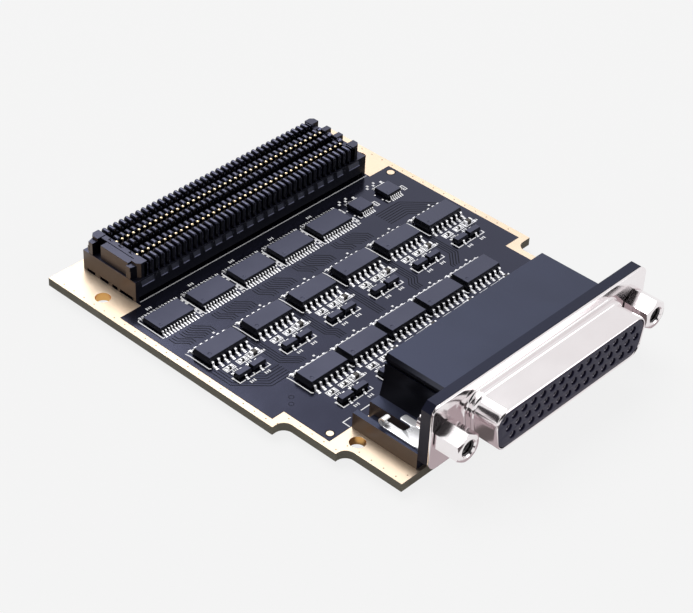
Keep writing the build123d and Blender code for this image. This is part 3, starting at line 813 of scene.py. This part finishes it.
# How far the shell's wall stands out from its outline, and how far in front of the flange
shellProfile = [(0.85, 0.02), (0.62, -0.05), (0.5, -0.2), (0.45, -0.4), (0.42, -0.7), (0.42, -1.15),
                (0.36, -1.32), (0.2, -1.45), (0.04, -1.56), (0.0, -1.75), (0.0, -5.1), (0.03, -5.5),
                (0.03, -5.85), (-0.04, -6.08), (-0.17, -6.2), (-0.3, -6.17), (-0.4, -6.0), (-0.4, -0.5)]
# The sprung sockets' own mouths: radius, and depth behind their front. Behind the given dark depth they are
# painted in shade
mouth = {**inMm(back=0.4, dark=1.0),
         "profile": ((0.64, 3.0), (0.64, 0.1), (0.59, 0.0), (0.51, 0.1), (0.51, 3.0))}
# The profile is in shares of the solder's radius and depth
solder = {**inMm(radius=0.78, depth=0.55, tailEnd=0.02, spacing=0.8),
          "profile": ((1.0, 0.0), (0.9, 0.12), (0.62, 0.45), (0.45, 1.0))}
shellLow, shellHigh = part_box("front_shell")
portMiddle = Vector(((shellLow.x + shellHigh.x) / 2, 0, (shellLow.z + shellHigh.z) / 2))
flangeFace = shellLow.y + port["reach"]
flangeBack = flangeFace + port["flangeDepth"]
insulatorFace = shellLow.y + port["insulatorRecess"]
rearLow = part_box("rear_housing")[0]


def shellOutline(grow):
    half, rise = port["shellHalf"] + grow, port["shellRise"] + grow
    lean = 2 * rise * math.tan(port["slope"])
    return loopRounded([(-half, rise), (-half + lean, -rise), (half - lean, -rise), (half, rise)],
                       port["corner"] + grow, 8)


def circleOutline(a, b, radius, count):
    angles = [2 * math.pi * k / count for k in range(count)]
    return [(a + radius * math.cos(t), b + radius * math.sin(t)) for t in angles]


def portRing(outline, y):
    return [(portMiddle.x + a, y, portMiddle.z + b) for a, b in outline]


def standUp(mesh, y):
    # Turns a flat plate to face the port's mouth, with its middle at y
    place = Matrix.Translation((portMiddle.x, y, portMiddle.z))
    mesh.transform(place @ Matrix.Rotation(math.radians(90), 4, "X"))
    return mesh


def fillShell(bm):
    rings = [portRing(shellOutline(grow * mm), flangeFace + y * mm) for grow, y in shellProfile]
    addRings(bm, rings, form="tube")


def makeShell():
    half, rise = port["flangeHalf"], port["flangeRise"]
    corners = [(-half, rise), (-half, -rise), (half, -rise), (half, rise)]
    flange = loopRounded(corners, port["flangeCorner"], 8)
    holes = [shellOutline(port["plateGap"])]
    holes += [circleOutline(side * port["screwSpacing"], 0, port["screwHole"], 32) for side in (-1, 1)]
    plate = plateWithHoles(flange, holes, port["plate"], port["plateEdge"])
    shell = joinMeshes("frontShell", [standUp(plate, flangeFace + port["plate"] / 2), meshOf(fillShell)])
    settle("frontShell", shell, ["nickelPlate"], ("front_shell",))


def socketPlaces():
    first = -(port["socketCounts"][0] - 0.5) / 2 * port["socketPitch"]
    return [
        (first + port["socketPitch"] * (k + row / 2), port["socketRow"] * (1 - row))
        for row, count in enumerate(port["socketCounts"])
        for k in range(count)
    ]


def fillInsulatorBack(bm):
    start = insulatorFace + port["insulatorThickness"] - port["lap"]
    outline = shellOutline(-port["insulatorGap"])
    addRings(bm, [portRing(outline, y) for y in (start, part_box("socket_insulator")[1].y)])


def makeInsulator():
    holes = [circleOutline(a, b, port["socketHole"], 20) for a, b in socketPlaces()]
    thickness = port["insulatorThickness"]
    front = plateWithHoles(shellOutline(-port["insulatorGap"]), holes, thickness, port["socketEdge"])
    standUp(front, insulatorFace + thickness / 2)
    joined = joinMeshes("socketInsulator", [front, meshOf(fillInsulatorBack)])
    settle("socketInsulator", joined, ["insulatorMoulding"], ("socket_insulator",))


def fillMouths(bm):
    front = insulatorFace + mouth["back"]
    for a, b in socketPlaces():
        addRings(bm, [
            ringPoints((portMiddle.x + a, front + y * mm, portMiddle.z + b), radius * mm, 16, "y")
            for radius, y in mouth["profile"]
        ], form="tube")


def portFace(normal, middle):
    # 1 upright faces and the flange's rim in painted shade, 2 outer ribs beside the plated border with a
    # painted warm reflection of it, 3 ends in painted shade. Tops stay 0
    behind = middle.y > flangeBack
    onRib = middle.z < boardTop + port["ribHeight"] and middle.x < rearLow.x + port["ribReach"]
    if behind and onRib and normal.x < -0.5:
        return 2
    if behind and abs(normal.x) > 0.5:
        return 3
    return 1 if normal.z < 0.35 or not behind else None


def pinTails():
    # Where the tails end under the board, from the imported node's lowest points
    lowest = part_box("socket_pins")[0].z
    found = {}
    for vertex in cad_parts["socket_pins"].data.vertices:
        if vertex.co.z < lowest + solder["tailEnd"]:
            key = (round(vertex.co.x / mm / 1.1), round(vertex.co.y / mm / 1.1))     # cells about a tail wide
            found.setdefault(key, []).append(vertex.co.copy())
    kept = []
    for points in found.values():
        middle = sum(points, Vector()) / len(points)
        if all((middle - other).length > solder["spacing"] for other in kept):
            kept.append(middle)
    return kept


def fillSolder(bm):
    for tail in pinTails():
        addRings(bm, [
            ringPoints((tail.x, tail.y, boardLow.z - drop * solder["depth"]), share * solder["radius"], 16)
            for share, drop in solder["profile"]
        ])


makeShell()
makeInsulator()
mouths = makePiece("socketMouths", fillMouths, ["contactRim", "contactDark"])
# Faces deeper in the mouths take the near-black metal: painted shade
paintFaces(mouths, lambda normal, middle: 1 if middle.y > insulatorFace + mouth["dark"] else 0)
portFinishes = ["portMoulding", "portSide", "mouldingEnd", "mouldingFront"]
paintFaces(softCopy("rear_housing", "rearHousing", portFinishes, port["housingEdge"],
                    split=flangeBack), portFace)
softCopy("socket_pins", "socketPins", ["tinPlate"], port["pinEdge"])
makePiece("solderCones", fillSolder, ["tinPlate"])
print("port shell, insulator, housing and pins made")


# Jackscrews: hexagon turned to a cone at its end, with a threaded bore

# The last four sizes mark where shade is painted, deep in the bore and in a ring by the flange
jackscrew = {
    **inMm(flat=4.75, reach=4.9, rootGap=0.18, faceRadius=2.25, coneMargin=0.3, bore=1.4, boreDepth=4.4,
           flare=0.22, flareRim=0.25, flareReach=0.5, threadStart=0.3, threadDepth=0.2, threadPitch=0.64,
           shank=1.4, shankLength=4.6, shankTip=0.2, collar=2.0, collarReach=0.24, darkRadius=0.05,
           darkLow=0.35, darkHigh=0.25, rootDark=0.17),
    "coneAngle": math.radians(32), "coneSides": 96, "sides": 32,
}


def turnedForm(bm, profile, x, count, turn=0.0):
    # A solid turned about the screw's axis from (radius, distance in front of the flange) pairs
    addRings(bm, [ringPoints((x, flangeFace - reach, portMiddle.z), radius, count, "y", turn)
                  for radius, reach in profile])


def makeJackscrew(side, node, name):
    x = portMiddle.x + side * port["screwSpacing"]
    s = jackscrew
    end, bore, length = s["reach"], s["bore"], s["shankLength"]
    corner = s["flat"] / math.sqrt(3)

    def fillHexagon(bm):
        turnedForm(bm, [(corner, s["rootGap"]), (corner, end)], x, 6, math.radians(30))

    def fillCone(bm):
        wide = corner + s["coneMargin"]
        drop = (wide - s["faceRadius"]) * math.tan(s["coneAngle"])
        turnedForm(bm, [(wide, 0), (wide, end - drop), (s["faceRadius"], end)], x, s["coneSides"])

    def fillBore(bm):
        profile = [(bore + s["flareRim"], end + s["flareReach"]), (bore + s["flare"], end),
                   (bore, end - s["flare"])]
        reach = end - s["threadStart"]
        while reach > end - s["boreDepth"]:
            profile.append((bore - s["threadDepth"], reach - 0.3 * s["threadPitch"]))
            profile.append((bore, reach - s["threadPitch"]))
            reach -= s["threadPitch"]
        turnedForm(bm, profile, x, s["sides"])

    def fillShank(bm):
        tip = s["shankTip"]
        turnedForm(bm, [(s["collar"], s["collarReach"]), (s["collar"], 0.0), (s["shank"], 0.0),
                        (s["shank"], tip - length), (s["shank"] - tip, -length)], x, s["sides"])

    # Faces deep in the bore and next to the flange take the dark metal: painted shade
    def inBore(normal, middle):
        out = math.dist((middle.x, middle.z), (x, portMiddle.z))
        reach = flangeFace - middle.y
        deep = out < bore + s["darkRadius"] and s["darkLow"] < reach < end - s["darkHigh"]
        return 1 if deep or 0 < reach < s["rootDark"] else None

    hexagon = cutBy(cutBy(meshOf(fillHexagon), fillCone, "INTERSECT"), fillBore)
    joined = joinMeshes(name, [hexagon, meshOf(fillShank)])
    paintFaces(settle(name, joined, ["nickelPlate", "boreDark"], (node,)), inBore)


for side, label in ((-1, "left"), (1, "right")):
    makeJackscrew(side, f"jackscrew_{label}", f"jackscrew{label.capitalize()}")


# Grounding brackets: a foot with a slot, a rounded bend and a leg up the flange

bracket = {
    **inMm(width=4.8, thickness=0.4, bend=1.0, slotLength=4.2, slotWidth=1.7, outerCut=0.9, innerCut=1.6,
           corner=0.45, edge=0.08, lap=0.05, curlStart=1.0, curlBack=0.95, curlRadius=0.7, curlEdge=0.06,
           bevel=0.05),
    # How far outwards and how high the bosses stand, and their pairs of radius and height
    "bossShifts": ((-1.5, 5.2), (0.5, 7.2)), "bossProfile": ((0.85, -0.05), (0.85, 0.3), (0.6, 0.5)),
}


def makeBracket(side, node, name):
    low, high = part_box(node)
    b = bracket
    x = (low.x + high.x) / 2
    half, t = b["width"] / 2, b["thickness"]
    start, end, middle = low.y + b["bend"], high.y, low.z + t / 2
    prong = (b["width"] - b["slotWidth"]) / 2
    root, outer, inner = end - b["slotLength"], end - b["outerCut"], end - b["innerCut"]
    # The outer prong is the longer one and ends in a curl
    foot = [(-half, start), (-half, outer), (prong - half, outer), (prong - half, root), (half - prong, root),
            (half - prong, inner), (half, inner), (half, start)]
    outline = loopRounded([(-side * a, c) for a, c in foot], b["corner"], 5)
    plate = plateWithHoles(outline, [], t, b["edge"])
    plate.transform(Matrix.Translation((x, 0, middle)))
    leg = [(start + b["lap"], middle), (low.y + t / 2, middle), (low.y + t / 2, high.z)]
    leg = thicken(rounded(leg, b["bend"] - t / 2, 8), t)
    curl = [(end - b["curlStart"], middle)]
    for k in range(9):
        angle = math.radians(27 * k - 90)
        curl.append((end - b["curlBack"] + b["curlRadius"] * math.cos(angle),
                     middle + b["curlRadius"] * (1 + math.sin(angle))))

    def fill(bm):
        addPrism(bm, leg, "x", x - half + b["edge"], x + half - b["edge"])
        curlLow, curlHigh = sorted((x + side * half, x + side * (half - prong)))
        addPrism(bm, thicken(curl, 0.7 * t), "x", curlLow + b["curlEdge"], curlHigh - b["curlEdge"])
        for shift, height in b["bossShifts"]:
            bossX, bossZ = x + side * shift * mm, low.z + height * mm
            addRings(bm, [ringPoints((bossX, low.y + t + reach * mm, bossZ), radius * mm, 16, "y")
                          for radius, reach in b["bossProfile"]])
    settle(name, joinMeshes(name, [plate, meshOf(fill)]), ["tinPlate"], (node,), bevel=b["bevel"])


for side, label in ((-1, "left"), (1, "right")):
    makeBracket(side, f"ground_bracket_{label}", f"groundBracket{label.capitalize()}")
print("jackscrews and brackets made")


# Small transistors, resistors and capacitors in front of each line driver

transistor = {**inMm(length=2.9, width=1.3, height=0.95, stand=0.1, draftLow=0.09, draftHigh=0.12, drop=7.1,
                     pitch=1.9, reach=1.2, edge=0.04), "shifts": (-1.9 * mm, 1.4 * mm)}
resistor = {**inMm(length=1.0, width=0.5, height=0.35, drop=4.4, cap=0.24, edge=0.025),
            "shifts": (-2.2 * mm, 0.7 * mm)}
capacitor = {**inMm(length=1.6, width=0.8, height=0.6, drop=4.4, cap=0.32, edge=0.03), "shifts": (3.3 * mm,)}
chipJoint = inMm(lap=0.02, pad=0.03, padMargin=0.06, padReach=0.3, filletReach=0.24, filletTop=0.07)
driverPlaces = [centreOf(f"line_driver_body_{number}") for number in range(1, 12)]


def partPlaces(part):
    return [(driver.x + shift, driver.y - part["drop"])
            for driver in driverPlaces for shift in part["shifts"]]


def fillTransistorBodies(bm):
    s = transistor
    base = maskTop + s["stand"]
    for x, y in partPlaces(s):
        low = (x - s["length"] / 2, y - s["width"] / 2)
        high = (x + s["length"] / 2, y + s["width"] / 2)
        addRings(bm, [
            rectangle(low, high, base, s["draftLow"]),
            rectangle(low, high, base + 0.45 * s["height"]),
            rectangle(low, high, base + s["height"], s["draftHigh"]),
        ])


def fillTransistorLeads(bm):
    s = transistor
    for x, y in partPlaces(s):
        for shift, side in ((0, -1), (-s["pitch"] / 2, 1), (s["pitch"] / 2, 1)):
            addGullWing(bm, x + shift, y, side, s["width"] / 2, s["reach"], sotLead)


def addChipPart(bm, x, y, part):
    half, deep, cap, height = part["length"] / 2, part["width"] / 2, part["cap"], part["height"]
    j, z = chipJoint, maskTop
    addBox(bm, (x - half + 0.7 * cap, y - deep + j["lap"], z + j["pad"]),
           (x + half - 0.7 * cap, y + deep - j["lap"], z + height - j["lap"]))
    for side in (-1, 1):
        capLow, capHigh = sorted((x + side * half, x + side * (half - cap)))
        addBox(bm, (capLow, y - deep, z + j["lap"]), (capHigh, y + deep, z + height), 1)
        # Pad and the solder drawn up the end
        padLow, padHigh = sorted((x + side * (half - 1.2 * cap), x + side * (half + j["padReach"])))
        padHalf = deep + j["padMargin"]
        addBox(bm, (padLow, y - padHalf, z), (padHigh, y + padHalf, z + j["pad"]), 1)
        back = x + side * (half - j["lap"])
        fillet = [(back, z + j["lap"]), (x + side * (half + j["filletReach"]), z + j["lap"]),
                  (x + side * (half + j["filletTop"]), z + 0.3 * height), (back, z + 0.75 * height)]
        addPrism(bm, fillet, "y", y - 0.9 * deep, y + 0.9 * deep, 1)


def fillChipParts(part):
    def fill(bm):
        for x, y in partPlaces(part):
            addChipPart(bm, x, y, part)
    return fill


transistorBodies = makePiece("transistorBodies", fillTransistorBodies, ["chipMoulding", "chipSide"],
                             ("transistor_bodies",), transistor["edge"])
paintFaces(transistorBodies, upright)
makePiece("transistorLeads", fillTransistorLeads, ["tinPlate", "tinPlate"], ("transistor_leads",),
          joint["edge"], segments=1)
makePiece("chipResistors", fillChipParts(resistor), ["resistorBody", "tinPlate"],
          ("chip_resistors",), resistor["edge"])
makePiece("chipCapacitors", fillChipParts(capacitor), ["capacitorBody", "tinPlate"],
          ("chip_capacitors",), capacitor["edge"])
print("transistors and chip parts made")


# White print on the mask: plain lines, frames, spots and ticks only. Places and sizes are in millimetres
# from a chip's middle: frames and spots have a length and a depth, rows of ticks a count, step and height

silk = inMm(line=0.2, thin=0.16, tick=0.22, height=0.015)
thinPlaces = [centreOf(f"thin_driver_body_{number}") for number in range(1, 6)]
smallPlaces = [centreOf(f"small_chip_body_{number}") for number in range(1, 3)]

# The outline of a thin chip's place, and two two-pad places between it and the next
thinPrint = {
    "lines": [[(-4.3, 2.75), (-4.3, -3.3), (-3.95, -3.3)], [(-4.3, 2.75), (-4.0, 3.0)]],
    "thinLines": [[(4.35, 3.1), (4.35, -0.7)]],
    "thinFrames": [(4.85, y, 0.62, 1.5) for y in (1.5, -1.9)],
    "spots": [(4.85, y, 0.36, 0.34) for y in (1.08, 1.92, -2.32, -1.48)],
    "ticks": [(4.5, 3.3, 2, 0.4, 0.5), (-0.6, 4.3, 3, 0.42, 0.6), (4.55, -3.2, 2, 0.42, 0.5)],
}
# Two pairs of bare pads behind, a slanting row of small pads at the right and two dots at the left
slantRow = [(1.5 + 0.32 * k, 3.1 - 0.95 * k) for k in range(5)]
smallPrint = {
    "thinLines": [[(-2.2, -1.5), (-2.2, -2.3), (-1.7, -2.3)]]
                 + [[(x - 0.35, y - 0.35), (x + 0.45, y - 0.55)] for x, y in slantRow],
    "thinFrames": [(3.1, -1.0, 0.7, 1.3)],
    "spots": [(x, y, 0.42, 0.5) for x, y in ((-2.0, 3.22), (-1.4, 3.78), (-0.4, 3.22), (0.2, 3.78))]
             + [(-2.45, y, 0.3, 0.3) for y in (0.9, -1.0)] + [(x, y, 0.5, 0.5) for x, y in slantRow],
}
# Frames round the chip parts in front, and corner lines round the pair of transistors
linePrint = {
    "lines": [[(-4.9, 3.1), (-4.75, 2.2), (-4.75, -2.3), (-4.5, -2.55)],
              [(-3.65, -6.9), (-3.65, -8.35), (-2.4, -8.35)], [(-1.4, -8.35), (0.9, -8.35)],
              [(-0.25, -8.35), (-0.25, -7.85)], [(1.9, -8.35), (3.15, -8.35), (3.15, -7.6)]],
    "thinLines": [[(-4.45, 3.12), (4.55, 3.12)]],
    "frames": [(-2.2, -4.4, 1.95, 1.05), (0.7, -4.4, 1.95, 1.05), (3.3, -4.4, 2.5, 1.4)],
    "spots": [(2.3, 4.0, 0.4, 0.4), (-3.65, -6.7, 0.4, 0.4)],
    "ticks": [(-1.9, -5.45, 3, 0.4, 0.5), (1.1, -5.45, 3, 0.4, 0.5), (4.95, -4.9, 2, 0.4, 0.6),
              (-1.7, -9.3, 3, 0.42, 0.6), (1.6, -9.3, 3, 0.42, 0.6)],
}
# The line in front of the mezzanine connector, and corner lines of the port's housing
boardPrint = {"lines": [[(-27.9, 26.4), (27.7, 26.2)], [(-24.0, -18.3), (-25.75, -18.3), (-25.75, -19.8)],
                        [(-21.6, -18.3), (-18.9, -18.3)]]}


def addStrip(bm, points, width, height):
    # A flat printed or etched line on the mask, through points in millimetres
    addPrism(bm, thicken([(a * mm, b * mm) for a, b in points], width), "z", maskTop, maskTop + height)


def addMarks(bm, x, y, marks):
    def line(points, width):
        addStrip(bm, [(x + a, y + b) for a, b in points], width, silk["height"])

    def frameOf(a, b, length, depth, width):
        half, deep, t = length / 2, depth / 2, width / mm / 2
        for side in (-1, 1):
            line([(a - half - t, b + side * deep), (a + half + t, b + side * deep)], width)
            line([(a + side * half, b - deep + t), (a + side * half, b + deep - t)], width)

    for lines, frames, pen in (("lines", "frames", "line"), ("thinLines", "thinFrames", "thin")):
        for points in marks.get(lines, ()):
            line(points, silk[pen])
        for place in marks.get(frames, ()):
            frameOf(*place, silk[pen])
    for a, b, length, depth in marks.get("spots", ()):
        line([(a - length / 2, b), (a + length / 2, b)], depth * mm)
    for a, b, count, step, height in marks.get("ticks", ()):
        # Plain upright dashes, every other one a little shorter
        for k, across in enumerate(evenRow(a, count, step)):
            half = height * (1.0 if k % 2 == 0 else 0.72) / 2
            line([(across, b - half), (across, b + half)], silk["tick"])


def fillPrint(bm):
    addMarks(bm, 0, 0, boardPrint)
    for places, marks in ((thinPlaces, thinPrint), (smallPlaces, smallPrint), (driverPlaces, linePrint)):
        for place in places:
            addMarks(bm, place.x / mm, place.y / mm, marks)


makePiece("silkPrint", fillPrint, ["silkInk"], smooth=False)


# Etched gaps between the traces under the mask, as parallel lines that follow one path

trace = {**inMm(gap=0.19, ring=0.1, height=0.004), "pitch": 0.6, "closePitch": 0.5, "viaRadius": 0.42}


def addBus(bm, points, count, pitch=trace["pitch"]):
    for shift in evenRow(0.0001, count, pitch):     # never quite 0, so that the path has a side
        addStrip(bm, thicken(points, 2 * shift)[:len(points)], trace["gap"], trace["height"])


def fillTraces(bm):
    thinY, middleY, frontY = thinPlaces[0].y / mm, driverPlaces[0].y / mm, driverPlaces[6].y / mm
    top, low = thinY - 4.1, middleY + 4.2
    gaps = [place.x / mm + 5.3 for place in driverPlaces[:5]]     # the spaces in the middle row
    frontRow = [place.x / mm for place in driverPlaces[6:]]
    # From each thin chip's front leads, slanting to the nearest space in the middle row
    for place, gap in zip(thinPlaces, gaps):
        x = place.x / mm
        slant = min(abs(gap - x), top - low - 1.6)
        turn = math.copysign(slant, gap - x)
        level = top - 0.8
        addBus(bm, [(x, top), (x, level), (x + turn, level - slant), (x + turn, low)], 6)
        side, bend, across = x - 3.2, level - 0.4, x - 3.2 + 0.8 * turn
        addBus(bm, [(side, top), (side, bend), (across, bend - 0.8 * slant), (across, low)], 3)
    # Past the middle row, then slanting on to the back leads of the front row
    bend = middleY - 8.6
    for gap, target in zip(gaps, frontRow):
        turn = max(-2.6, min(2.6, target - gap))
        path = [(gap, low - 0.9), (gap, bend), (gap + turn, bend - abs(turn)), (gap + turn, frontY + 4.2)]
        addBus(bm, path, 4, trace["closePitch"])
    # A wide bundle near the right edge, and one from the left edge to the front row
    addBus(bm, [(19.6, thinY - 5.3), (25.0, thinY - 5.3), (28.6, thinY - 8.9), (28.6, middleY - 6.0)], 7)
    end = middleY - 10.8
    addBus(bm, [(-30.6, middleY - 3.2), (-30.6, middleY - 7.0), (-26.8, end), (-22.8, end)], 6)
    # Two bare vias near the left step
    for x, y in ((-27.2, -8.4), (-28.4, -9.6)):
        angles = [t * math.pi / 8 for t in range(17)]
        ring = [(x + trace["viaRadius"] * math.cos(t), y + trace["viaRadius"] * math.sin(t)) for t in angles]
        addStrip(bm, ring, trace["ring"], trace["height"])


makePiece("traceGaps", fillTraces, ["maskGap"], smooth=False)


# Bare alignment spots, and the row of small vias along the plated border

spots = {**inMm(height=0.012, gapHeight=0.004, gap=0.22),
         "places": ((-29.1, -18.7, 0.62), (31.8, 23.9, 0.72))}
vias = {**inMm(radius=0.13, height=0.006), "inset": 0.75, "pitch": 2.54, "first": 1.0, "start": 40.0,
        "stepFront": -11.35, "stepLeft": -31.15, "secondFront": -22.55, "secondLeft": -29.0, "end": -26.4,
        "rightStart": 38.0, "rightCount": 17}


def addDisc(bm, x, y, radius, low, height, index=0):
    addRings(bm, [ringPoints((x * mm, y * mm, z), radius, 24) for z in (low, low + height)], index)


def fillSpots(bm):
    for x, y, radius in spots["places"]:
        addDisc(bm, x, y, radius * mm + spots["gap"], maskTop, spots["gapHeight"], 1)
        addDisc(bm, x, y, radius * mm, maskTop, spots["height"])


def viaPlaces():
    # The line of vias runs in the middle of the border, round its steps
    v = vias
    low, high = boardLow / mm, boardHigh / mm
    left, front = low.x + v["inset"], low.y + v["inset"]
    line = [(left, v["start"]), (left, v["stepFront"]), (v["stepLeft"], v["stepFront"]),
            (v["stepLeft"], v["secondFront"]), (v["secondLeft"], v["secondFront"]), (v["secondLeft"], front),
            (v["end"], front)]
    places = []
    carried = v["first"]
    for (a, b), (c, d) in zip(line, line[1:]):
        length = math.dist((a, b), (c, d))
        at = carried
        while at < length:
            places.append((a + (c - a) * at / length, b + (d - b) * at / length))
            at += v["pitch"]
        carried = at - length
    return places + [(high.x - v["inset"], v["rightStart"] - v["pitch"] * k) for k in range(v["rightCount"])]


def fillVias(bm):
    for x, y in viaPlaces():
        addDisc(bm, x, y, vias["radius"], boardTop, vias["height"])


makePiece("alignmentSpots", fillSpots, ["plating", "maskGap"], smooth=False)
makePiece("borderVias", fillVias, ["viaDark"], smooth=False)
print("print, traces and vias made")


# Camera, fitted to the photograph: its place in millimetres, angles in degrees, focal length in pixels

camera = {"place": (-206.62, -177.47, 210.61), "azimuth": -48.56, "elevation": 37.53, "roll": -3.0,
          "focus": 2029.1, "photoWidth": 693, "sensor": 36.0}


def placeCamera():
    a, e = math.radians(camera["azimuth"]), math.radians(camera["elevation"])
    back = Vector((math.sin(a) * math.cos(e), -math.cos(a) * math.cos(e), math.sin(e)))
    level = (-back).cross(Vector((0, 0, 1))).normalized()
    steep = level.cross(-back)
    roll = math.radians(camera["roll"])
    up = steep * math.cos(roll) + level * math.sin(roll)
    right = level * math.cos(roll) - steep * math.sin(roll)
    data = bpy.data.cameras.new("photoCamera")
    data.sensor_width = camera["sensor"]
    data.lens = camera["focus"] * camera["sensor"] / camera["photoWidth"]
    data.clip_start = 0.01
    seen = addObject("photoCamera", data)
    turn = Matrix((right, up, back)).transposed().to_4x4()
    seen.matrix_world = Matrix.Translation(Vector(camera["place"]) * mm) @ turn
    bpy.context.scene.camera = seen


# Light and ground. Cards that only reflections see give the metal its dark sides: flat ones lie beside
# the board, by two corners, and standing ones have four. Both are in millimetres

studio = {"worldSeen": 0.896, "worldLight": 0.3, "floorColour": 0.45, "floorShare": 0.16, "floorHalf": 6.0,
          "floorGap": 0.02 * mm, "cardHeight": 0.3 * mm}
lamps = {"topSoftbox": {"place": (0.25, 0.9, 1.7), "size": 1.4, "power": 28},
         "frontFill": {"place": (0.9, -1.2, 1.0), "size": 0.9, "power": 4}}
flatCards = {
    "frontLeftCard": ((-160, -170), (-12, -58), (0.10, 0.08, 0.085)),
    "nearCard": ((-60, -45.5), (34, -36.8), (0.46, 0.39, 0.405)),
    "underCard": ((-27.5, -36.8), (40, 40), (0.12, 0.10, 0.10)),
    "backLeftCard": ((-170, -36), (-38, 120), (0.18, 0.15, 0.15)),
}
standingCards = {
    "leftFlag": ([(-620, 60, 100), (-120, 620, 100), (-120, 620, 560), (-620, 60, 560)],
                 (0.05, 0.045, 0.05)),
    "frontFlag": ([(-650, -100, 250), (100, -650, 250), (100, -500, 900), (-650, -50, 900)],
                  (0.02, 0.018, 0.02)),
}


def addLamp(name, place, size, power):
    data = bpy.data.lights.new(name, "AREA")
    data.size = size
    data.energy = power
    lamp = addObject(name, data)
    lamp.location = place
    lamp.rotation_euler = Vector(place).to_track_quat("Z", "Y").to_euler()


def addSeenMask(tree):
    # 1 for rays from the camera, and in metal and glass
    path = addNode(tree, "LightPath")
    seen = path.outputs["Is Camera Ray"]
    for label in ("Is Glossy Ray", "Is Transmission Ray"):
        either = addNode(tree, "Math", feeds={0: seen, 1: path.outputs[label]}, operation="MAXIMUM")
        seen = either.outputs[0]
    return seen


def buildWorld():
    world = bpy.data.worlds.new("studio")
    world.use_nodes = True
    bpy.context.scene.world = world
    tree = world.node_tree
    background = tree.nodes["Background"]
    background.inputs["Color"].default_value = (1, 1, 1, 1)
    level = addNode(tree, "MapRange", {"To Min": studio["worldLight"], "To Max": studio["worldSeen"]},
                    {"Value": addSeenMask(tree)})
    tree.links.new(level.outputs["Result"], background.inputs["Strength"])


def buildFloor():
    # Seen directly it is an even pale ground, which keeps a share of its own light and shadow
    def fill(bm):
        bmesh.ops.create_grid(bm, x_segments=1, y_segments=1, size=studio["floorHalf"])
    floor = addObject("floor", meshOf(fill))
    level = studio["floorColour"]
    material, tree, shader = newMaterial("paleFloor")
    shader.inputs["Base Color"].default_value = (level, level, level, 1)
    shader.inputs["Roughness"].default_value = 0.9
    shader.inputs["Specular IOR Level"].default_value = 0.0
    glow = addNode(tree, "Emission", {"Strength": 1.0})
    part = addNode(tree, "Math", {1: 1 - studio["floorShare"]}, {0: addSeenMask(tree)},
                   operation="MULTIPLY")
    mix = addNode(tree, "MixShader", feeds={0: part.outputs[0], 1: shader.outputs[0], 2: glow.outputs[0]})
    tree.links.new(mix.outputs[0], tree.nodes["Material Output"].inputs["Surface"])
    floor.data.materials.append(material)
    floor.location.z = cadLow.z - studio["floorGap"]


def addCard(name, corners, level):
    def fill(bm):
        bm.faces.new([bm.verts.new(corner) for corner in corners])
    card = addObject(name, meshOf(fill, name))
    material, tree, _ = newMaterial(name)
    glow = addNode(tree, "Emission", {"Color": (*level, 1)})
    tree.links.new(glow.outputs[0], tree.nodes["Material Output"].inputs["Surface"])
    card.data.materials.append(material)
    card.visible_camera = False
    card.visible_diffuse = False
    card.visible_shadow = False
    card.visible_transmission = False


placeCamera()
buildWorld()
buildFloor()
for name, (low, high, level) in flatCards.items():
    low, high = Vector(low) * mm, Vector(high) * mm
    addCard(name, rectangle(low, high, cadLow.z + studio["cardHeight"]), level)
for name, (corners, level) in standingCards.items():
    addCard(name, [Vector(corner) * mm for corner in corners], level)
for name, look in lamps.items():
    addLamp(name, look["place"], look["size"], look["power"])
bpy.context.scene.view_settings.view_transform = "Standard"
print("camera, light and floor set")
